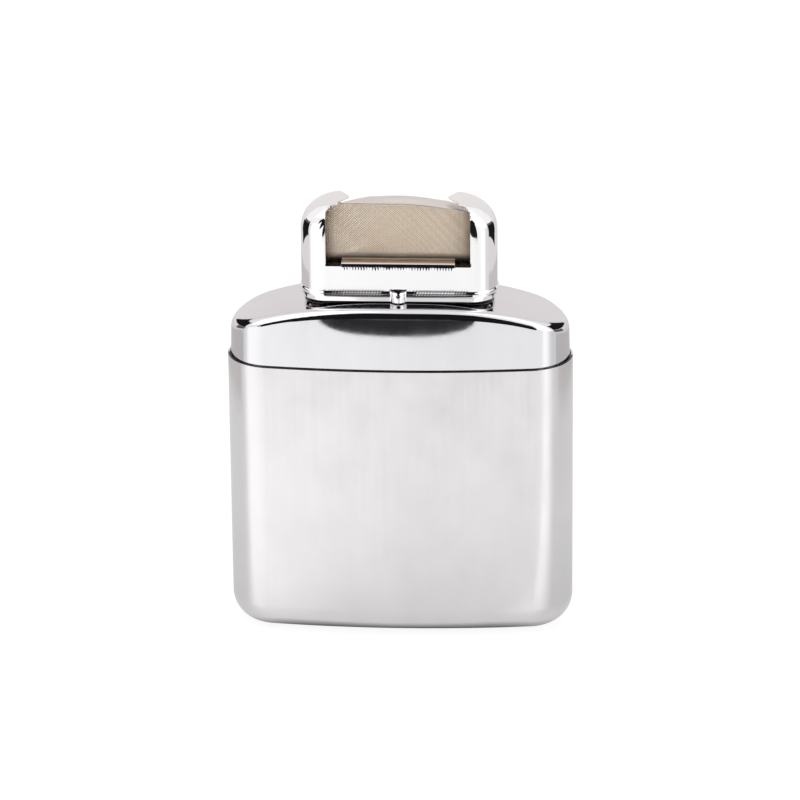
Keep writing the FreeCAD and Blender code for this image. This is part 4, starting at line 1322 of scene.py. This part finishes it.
# %% [markdown]
# ## The neck's solder
# Solder runs up the neck and out over the deck in a small hollow fillet. The deck is crowned, so
# the fillet is laid as rows of points round the neck, each at its own height above the deck.

# %% Neck solder
FILLET = ((0.62, -0.02), (0.66, 0.07), (0.80, 0.13), (0.98, 0.22), (1.16, 0.38), (1.28, 0.55),
          (1.35, 0.62), (1.40, 0.55), (1.40, -0.05))   # inset and height above the deck
FILLET_STRAY = 0.25      # share by which its height wanders


def neck_ring(inset):
    """The plan round the neck at an inset from the head's, anticlockwise from the front."""
    half_x, half_y = HALF_X - inset, HALF_Y - inset
    quarter = corner_run(half_x, half_y, HEAD_CORNER - inset, 0.0)
    half = quarter + [(x, -y) for x, y in reversed(quarter)]
    return half + [(-x, -y) for x, y in half[1:-1]]


def fillet_skin():
    skin, rows = Skin(), []
    for inset, height in FILLET:
        rows.append(skin.row([
            (x, y, crown(x) + height * (1 + FILLET_STRAY * noise.noise(Vector((x, y, 0)) * 0.5)))
            for x, y in neck_ring(inset)]))
    skin.strips(rows + rows[:1], closed=True)
    return skin


fillet = fillet_skin().make("neck_seam")
smooth(fillet)
finish(fillet, "tank", "solder", solder, "neck_solder")

# %% [markdown]
# ## Pieces that keep their CAD shape
# The neck, the solder, the perforated plates, the socket and its springs are right as they are.
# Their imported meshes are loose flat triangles, though, and a polished neck would show each one.
# A merged copy with its true corners marked sharp shades as one smooth surface.

# %% Smooth copies
def smooth_copy(node_name, name, corner=28.0):
    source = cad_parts[node_name]
    mesh = source.data.copy()
    work = bmesh.new()
    work.from_mesh(mesh)
    bmesh.ops.remove_doubles(work, verts=work.verts, dist=0.001 * MM)
    work.to_mesh(mesh)
    work.free()
    made = bpy.data.objects.new(name, mesh)
    bpy.context.scene.collection.objects.link(made)
    mesh.name = name
    smooth(made)
    mesh.set_sharp_from_angle(angle=math.radians(corner))
    weighted = made.modifiers.new("normals", "WEIGHTED_NORMAL")
    weighted.keep_sharp = True
    return settled(made)


CAD_SHAPED = (("neck_collar", "neck", "tank", "neck_plate", neck_plate),
              ("seam_solder", "cup_seam", "tank", "solder", solder),
              ("neck_grille", "grille", "tank", "inner_steel", inner_steel),
              ("burner_socket", "socket", "burner", "inner_steel", inner_steel),
              ("vapour_plate", "plate", "burner", "inner_steel", shade_dark_steel),
              ("front_grip_spring", "front_spring", "burner", "spring_steel", spring_steel),
              ("back_grip_spring", "back_spring", "burner", "spring_steel", spring_steel),
              ("spring_rivets", "rivets", "burner", "spring_steel", spring_steel))
for node_name, name, body, slot, material in CAD_SHAPED:
    finish(smooth_copy(node_name, name), body, slot, material, node_name)

# %% [markdown]
# ## The studio
# Bright metal has no colour of its own: it shows the room. The floor is a pale sheet that the
# walls mirror, because a wall that is looked down on reflects what lies in front of it. It is
# brighter in some directions than in others, and the walls show that as soft upright bands.
# Above it a room of cards stands on an imaginary dome round the flask: dark flags give the
# roundings their black lines, and pale cards give the broad light bands. Shades lie on the floor
# beside the flask and behind it. The cards show only in reflections.

# %% Floor tones
# Azimuth in degrees, and how bright the metal sees the floor there.
FLOOR_TONES = ((-180, 0.62), (-84, 0.66), (-77, 0.76), (-67, 1.42), (-48, 1.38), (-30, 1.22),
               (-12, 1.11), (0, 1.01), (31, 0.97), (45, 1.0), (51, 1.36), (58, 1.36),
               (66, 0.90), (72, 0.62), (180, 0.58))
NEAR_TONE = 0.76         # how bright the floor is close to the flask, beside further out
NEAR_FROM, NEAR_TO = 14.0, 90.0      # distances between which it brightens
PLAIN_TONE = 0.98        # close to the flask it is as bright all round
PLAIN_TO, BANDS_FROM = 24.0, 44.0    # distances between which the tones above take over
CONTACT_TONE = 0.10      # under the flask it lies in shadow
CONTACT_FROM, CONTACT_TO = 0.22, 0.75    # sums of fourth powers, which are 1 at the plan's ends


def floor_bands(tree, x, y):
    """The tones by azimuth, halved so that they stay within a ramp's 0 to 1."""
    azimuth = calculate(tree, "ARCTAN2", x, calculate(tree, "MULTIPLY", y, -1.0))
    place = ranged(tree, azimuth, -math.pi, math.pi, 0.0, 1.0)
    ramp = node(tree, "ShaderNodeValToRGB", {"Fac": place})
    stops = ramp.color_ramp.elements
    while len(stops) < len(FLOOR_TONES):
        stops.new(0.5)
    for stop, (degrees, tone) in zip(stops, FLOOR_TONES):
        stop.position = 0.5 + degrees / 360
    for stop, (degrees, tone) in zip(stops, FLOOR_TONES):
        stop.color = (tone / 2, tone / 2, tone / 2, 1)
    return ramp.outputs["Color"]


def floor_tone(tree, where):
    """The floor's brightness round the flask, which its walls mirror as upright bands."""
    x, y, _ = axes_of(tree, where)
    distance = node(tree, "ShaderNodeVectorMath", {0: where}, operation="LENGTH").outputs["Value"]
    tone = node(tree, "ShaderNodeMix", {"Factor": fade(tree, distance, PLAIN_TO, BANDS_FROM),
                                        2: PLAIN_TONE / 2, 3: floor_bands(tree, x, y)},
                data_type="FLOAT").outputs[0]
    inside = 0.0
    for axis, half in ((x, half_width), (y, half_depth)):
        share = calculate(tree, "MULTIPLY", axis, 1 / (half * MM))
        inside = calculate(tree, "ADD", calculate(tree, "POWER", share, 4.0), inside)
    contact = ranged(tree, inside, CONTACT_FROM, CONTACT_TO, CONTACT_TONE, 1.0)
    near = ranged(tree, distance, NEAR_FROM * MM, NEAR_TO * MM, 2 * NEAR_TONE, 2.0)
    return calculate(tree, "MULTIPLY", tone, calculate(tree, "MULTIPLY", near, contact))


print("floor tones", len(FLOOR_TONES))

# %% Floor
FLOOR = 3000.0           # half the floor's width
PAPER_WHITE = 1.06       # how bright its glow is straight into the camera
GLOW_SEEN, GLOW_MIRRORED = 0.85, 0.65    # share of the glow for the camera and for reflections


def floor_material():
    """Pale paper: lit where other things see it, nearly white straight into the camera."""
    material, tree, shader, where = new_material("paper")
    paper = noise_map(tree, where, 30.0, 0.0, 1.0)
    feed(tree, shader, {
        "Base Color": blend_colour(tree, paper, (0.90, 0.90, 0.90), (0.88, 0.88, 0.88)),
        "Roughness": 0.9,
        "Specular IOR Level": 0.0})
    path = node(tree, "ShaderNodeLightPath").outputs
    seen, mirrored = path["Is Camera Ray"], path["Is Glossy Ray"]
    tone = node(tree, "ShaderNodeMix", {"Factor": seen, 2: floor_tone(tree, where),
                                        3: PAPER_WHITE}, data_type="FLOAT")
    glow = node(tree, "ShaderNodeEmission", {"Color": (1, 1, 1, 1), "Strength": tone.outputs[0]})
    share = calculate(tree, "MULTIPLY_ADD", seen, GLOW_SEEN,
                      calculate(tree, "MULTIPLY", mirrored, GLOW_MIRRORED))
    mixed = node(tree, "ShaderNodeMixShader", {0: share, 1: shader.outputs[0],
                                               2: glow.outputs[0]})
    feed(tree, tree.nodes["Material Output"], {"Surface": mixed.outputs[0]})
    return material


def make_floor():
    skin = Skin()
    near, far = ([(x, y, 0) for x in (-FLOOR, FLOOR)] for y in (-FLOOR, FLOOR))
    skin.strip(skin.row(near), skin.row(far))
    floor = skin.make("floor")
    floor.data.materials.append(floor_material())
    return floor


make_floor()
print("floor laid")

# %% Card helpers
DOME, FLAG_DOME = 900.0, 880.0   # radius of the dome that the cards stand on, and of the flags'
FLOOR_CLEAR = 0.3        # height of the cards that lie on the floor
BRIGHT, GREY, BLACK = (1.6, 1.6, 1.6), (0.86, 0.825, 0.82), (0.010, 0.010, 0.012)
PALE, SHADE = (0.76, 0.735, 0.73), (0.58, 0.56, 0.555)
CHARCOAL, DIM = (0.028, 0.028, 0.031), (0.12, 0.12, 0.125)


def card_material(name, tone):
    material = bpy.data.materials.new(name)
    material.use_nodes = True
    tree = material.node_tree
    tree.nodes.clear()
    glow = node(tree, "ShaderNodeEmission", {"Color": (*tone, 1), "Strength": 1.0})
    node(tree, "ShaderNodeOutputMaterial", {"Surface": glow.outputs[0]})
    return material


def card(name, points_at, across, up, tone, steps=24):
    """A card whose points are given by a function of two ranges, seen in reflections only."""
    skin = Skin()
    rows = []
    for j in range(steps + 1):
        high = up[0] + (up[1] - up[0]) * j / steps
        rows.append(skin.row([points_at(across[0] + (across[1] - across[0]) * i / steps, high)
                              for i in range(steps + 1)]))
    skin.strips(rows)
    made = skin.make(name)
    made.data.materials.append(card_material(name, tone))
    for way in ("camera", "diffuse", "transmission", "volume_scatter", "shadow"):
        setattr(made, f"visible_{way}", False)
    return made


def on_dome(azimuth, elevation, radius=DOME):
    """A point of the dome; azimuth 0 is in front of the flask and grows to the right."""
    azimuth, elevation = math.radians(azimuth), math.radians(elevation)
    level = radius * math.cos(elevation)
    return (level * math.sin(azimuth), -level * math.cos(azimuth),
            radius * math.sin(elevation))


def on_floor(azimuth, distance):
    """A point just over the floor."""
    azimuth = math.radians(azimuth)
    return distance * math.sin(azimuth), -distance * math.cos(azimuth), FLOOR_CLEAR


print("dome", DOME, "and flags' dome", FLAG_DOME)

# %% Front cards
def tapered(stops):
    """A top elevation for each azimuth, from a few stops with straight lines between."""
    def top(azimuth):
        for (a, low), (b, high) in zip(stops, stops[1:]):
            if azimuth <= b:
                return low + (high - low) * (azimuth - a) / (b - a)
        return stops[-1][1]
    return top


def under(top):
    """A card's points from the horizon up to a top that changes with the azimuth."""
    return lambda azimuth, share: on_dome(azimuth, top(azimuth) * share, FLAG_DOME)


FRONT_TOP = tapered(((-45, 6), (-34, 14), (-26, 26), (-20, 42), (-15, 58), (10, 58), (18, 54),
                     (34, 2)))
card("front_flag", under(FRONT_TOP), (-45, 34), (0, 1), BLACK, steps=79)
card("front_floor_flag", on_floor, (-20, 31), (225, 880), BLACK)
card("left_floor_flag", on_floor, (-34, -20), (330, 880), BLACK)
card("left_softbox", on_dome, (-78, -14), (24, 80), BRIGHT)
card("right_softbox", on_dome, (35, 76), (0, 80), BRIGHT)
print("front cards made")

# %% Side and back cards
NEAR, NEAR_X, NEAR_Y = 28.0, 31.0, -5.0  # radius and centre of the flags close to the ends


def round_end(side):
    """A card's points on an upright curve round one end of the flask."""
    def place(azimuth, height):
        turn = math.radians(azimuth)
        return (NEAR_X * side + NEAR * math.sin(turn), NEAR_Y - NEAR * math.cos(turn), height)
    return place


def span(side, last):
    """Azimuths from beside the flask round to the last one, in growing order."""
    return sorted((side * 84, side * last))


for name, side in (("left", -1), ("right", 1)):
    card(f"{name}_flag", on_dome, span(side, 118), (0, 8.5), DIM)
    card(f"{name}_floor_flag", on_floor, span(side, 118), (400, 880), DIM)
    card(f"{name}_floor_shade", on_floor, span(side, 160), (150, 208), SHADE)
    card(f"{name}_far_shade", on_floor, span(side, 160), (208, 320), PALE)
    card(f"{name}_near_flag", round_end(side), span(side, 148), (67.4, 85), BLACK)
card("back_card", on_dome, (120, 240), (0, 78), GREY)
print("side and back cards made")

# %% [markdown]
# One more flag stands close in front, low down. Being close, it is seen by the shoulder's middle
# and not by its ends, so it leaves a dark crescent there, as a camera or a hand does.

# %% Close flag
FLAG_HALF, FLAG_DEEP, FLAG_AWAY, FLAG_ASIDE = 21.4, 5.3, 42.0, -2.0
FLAG_BASE, FLAG_TOP = 53.3, 57.6     # its top is too low for the head to see


def close_flag_point(across, up):
    """Square-shouldered half oval: flat along the bottom and round at its lower corners."""
    rise = FLAG_DEEP * (1 - (1 - abs(across) ** 3) ** (1 / 3))
    bottom = min(FLAG_BASE + rise, FLAG_TOP)
    return FLAG_ASIDE + FLAG_HALF * across, -FLAG_AWAY, bottom + (FLAG_TOP - bottom) * up


card("close_flag", close_flag_point, (-1, 1), (0, 1), CHARCOAL, steps=40)
print("close flag", 2 * FLAG_HALF, "wide")

# %% Lamps and world
AIMED_AT = Vector((0, 0, 40.0))      # the middle of the flask


def make_lamp(name, place, size, power):
    data = bpy.data.lights.new(name, "AREA")
    data.shape, data.size, data.energy = "DISK", size * MM, power
    lamp = bpy.data.objects.new(name, data)
    bpy.context.scene.collection.objects.link(lamp)
    lamp.location = Vector(place) * MM
    lamp.rotation_mode = "QUATERNION"
    lamp.rotation_quaternion = (AIMED_AT - Vector(place)).to_track_quat("-Z", "Y")
    lamp.visible_glossy = False
    return lamp


def make_world():
    """Plain white all round: the backdrop, the reflections' light parts and the soft light."""
    world = bpy.data.worlds.new("studio")
    bpy.context.scene.world = world
    world.use_nodes = True
    feed(world.node_tree, world.node_tree.nodes["Background"],
         {"Color": (1, 1, 1, 1), "Strength": 1.0})


make_world()
make_lamp("overhead", (-150, -250, 900), 700, 1.5)
make_lamp("fill", (500, -500, 450), 400, 0.4)
print("lamps and world made")

# %% Settle the view
bpy.context.scene.view_settings.view_transform = "Standard"
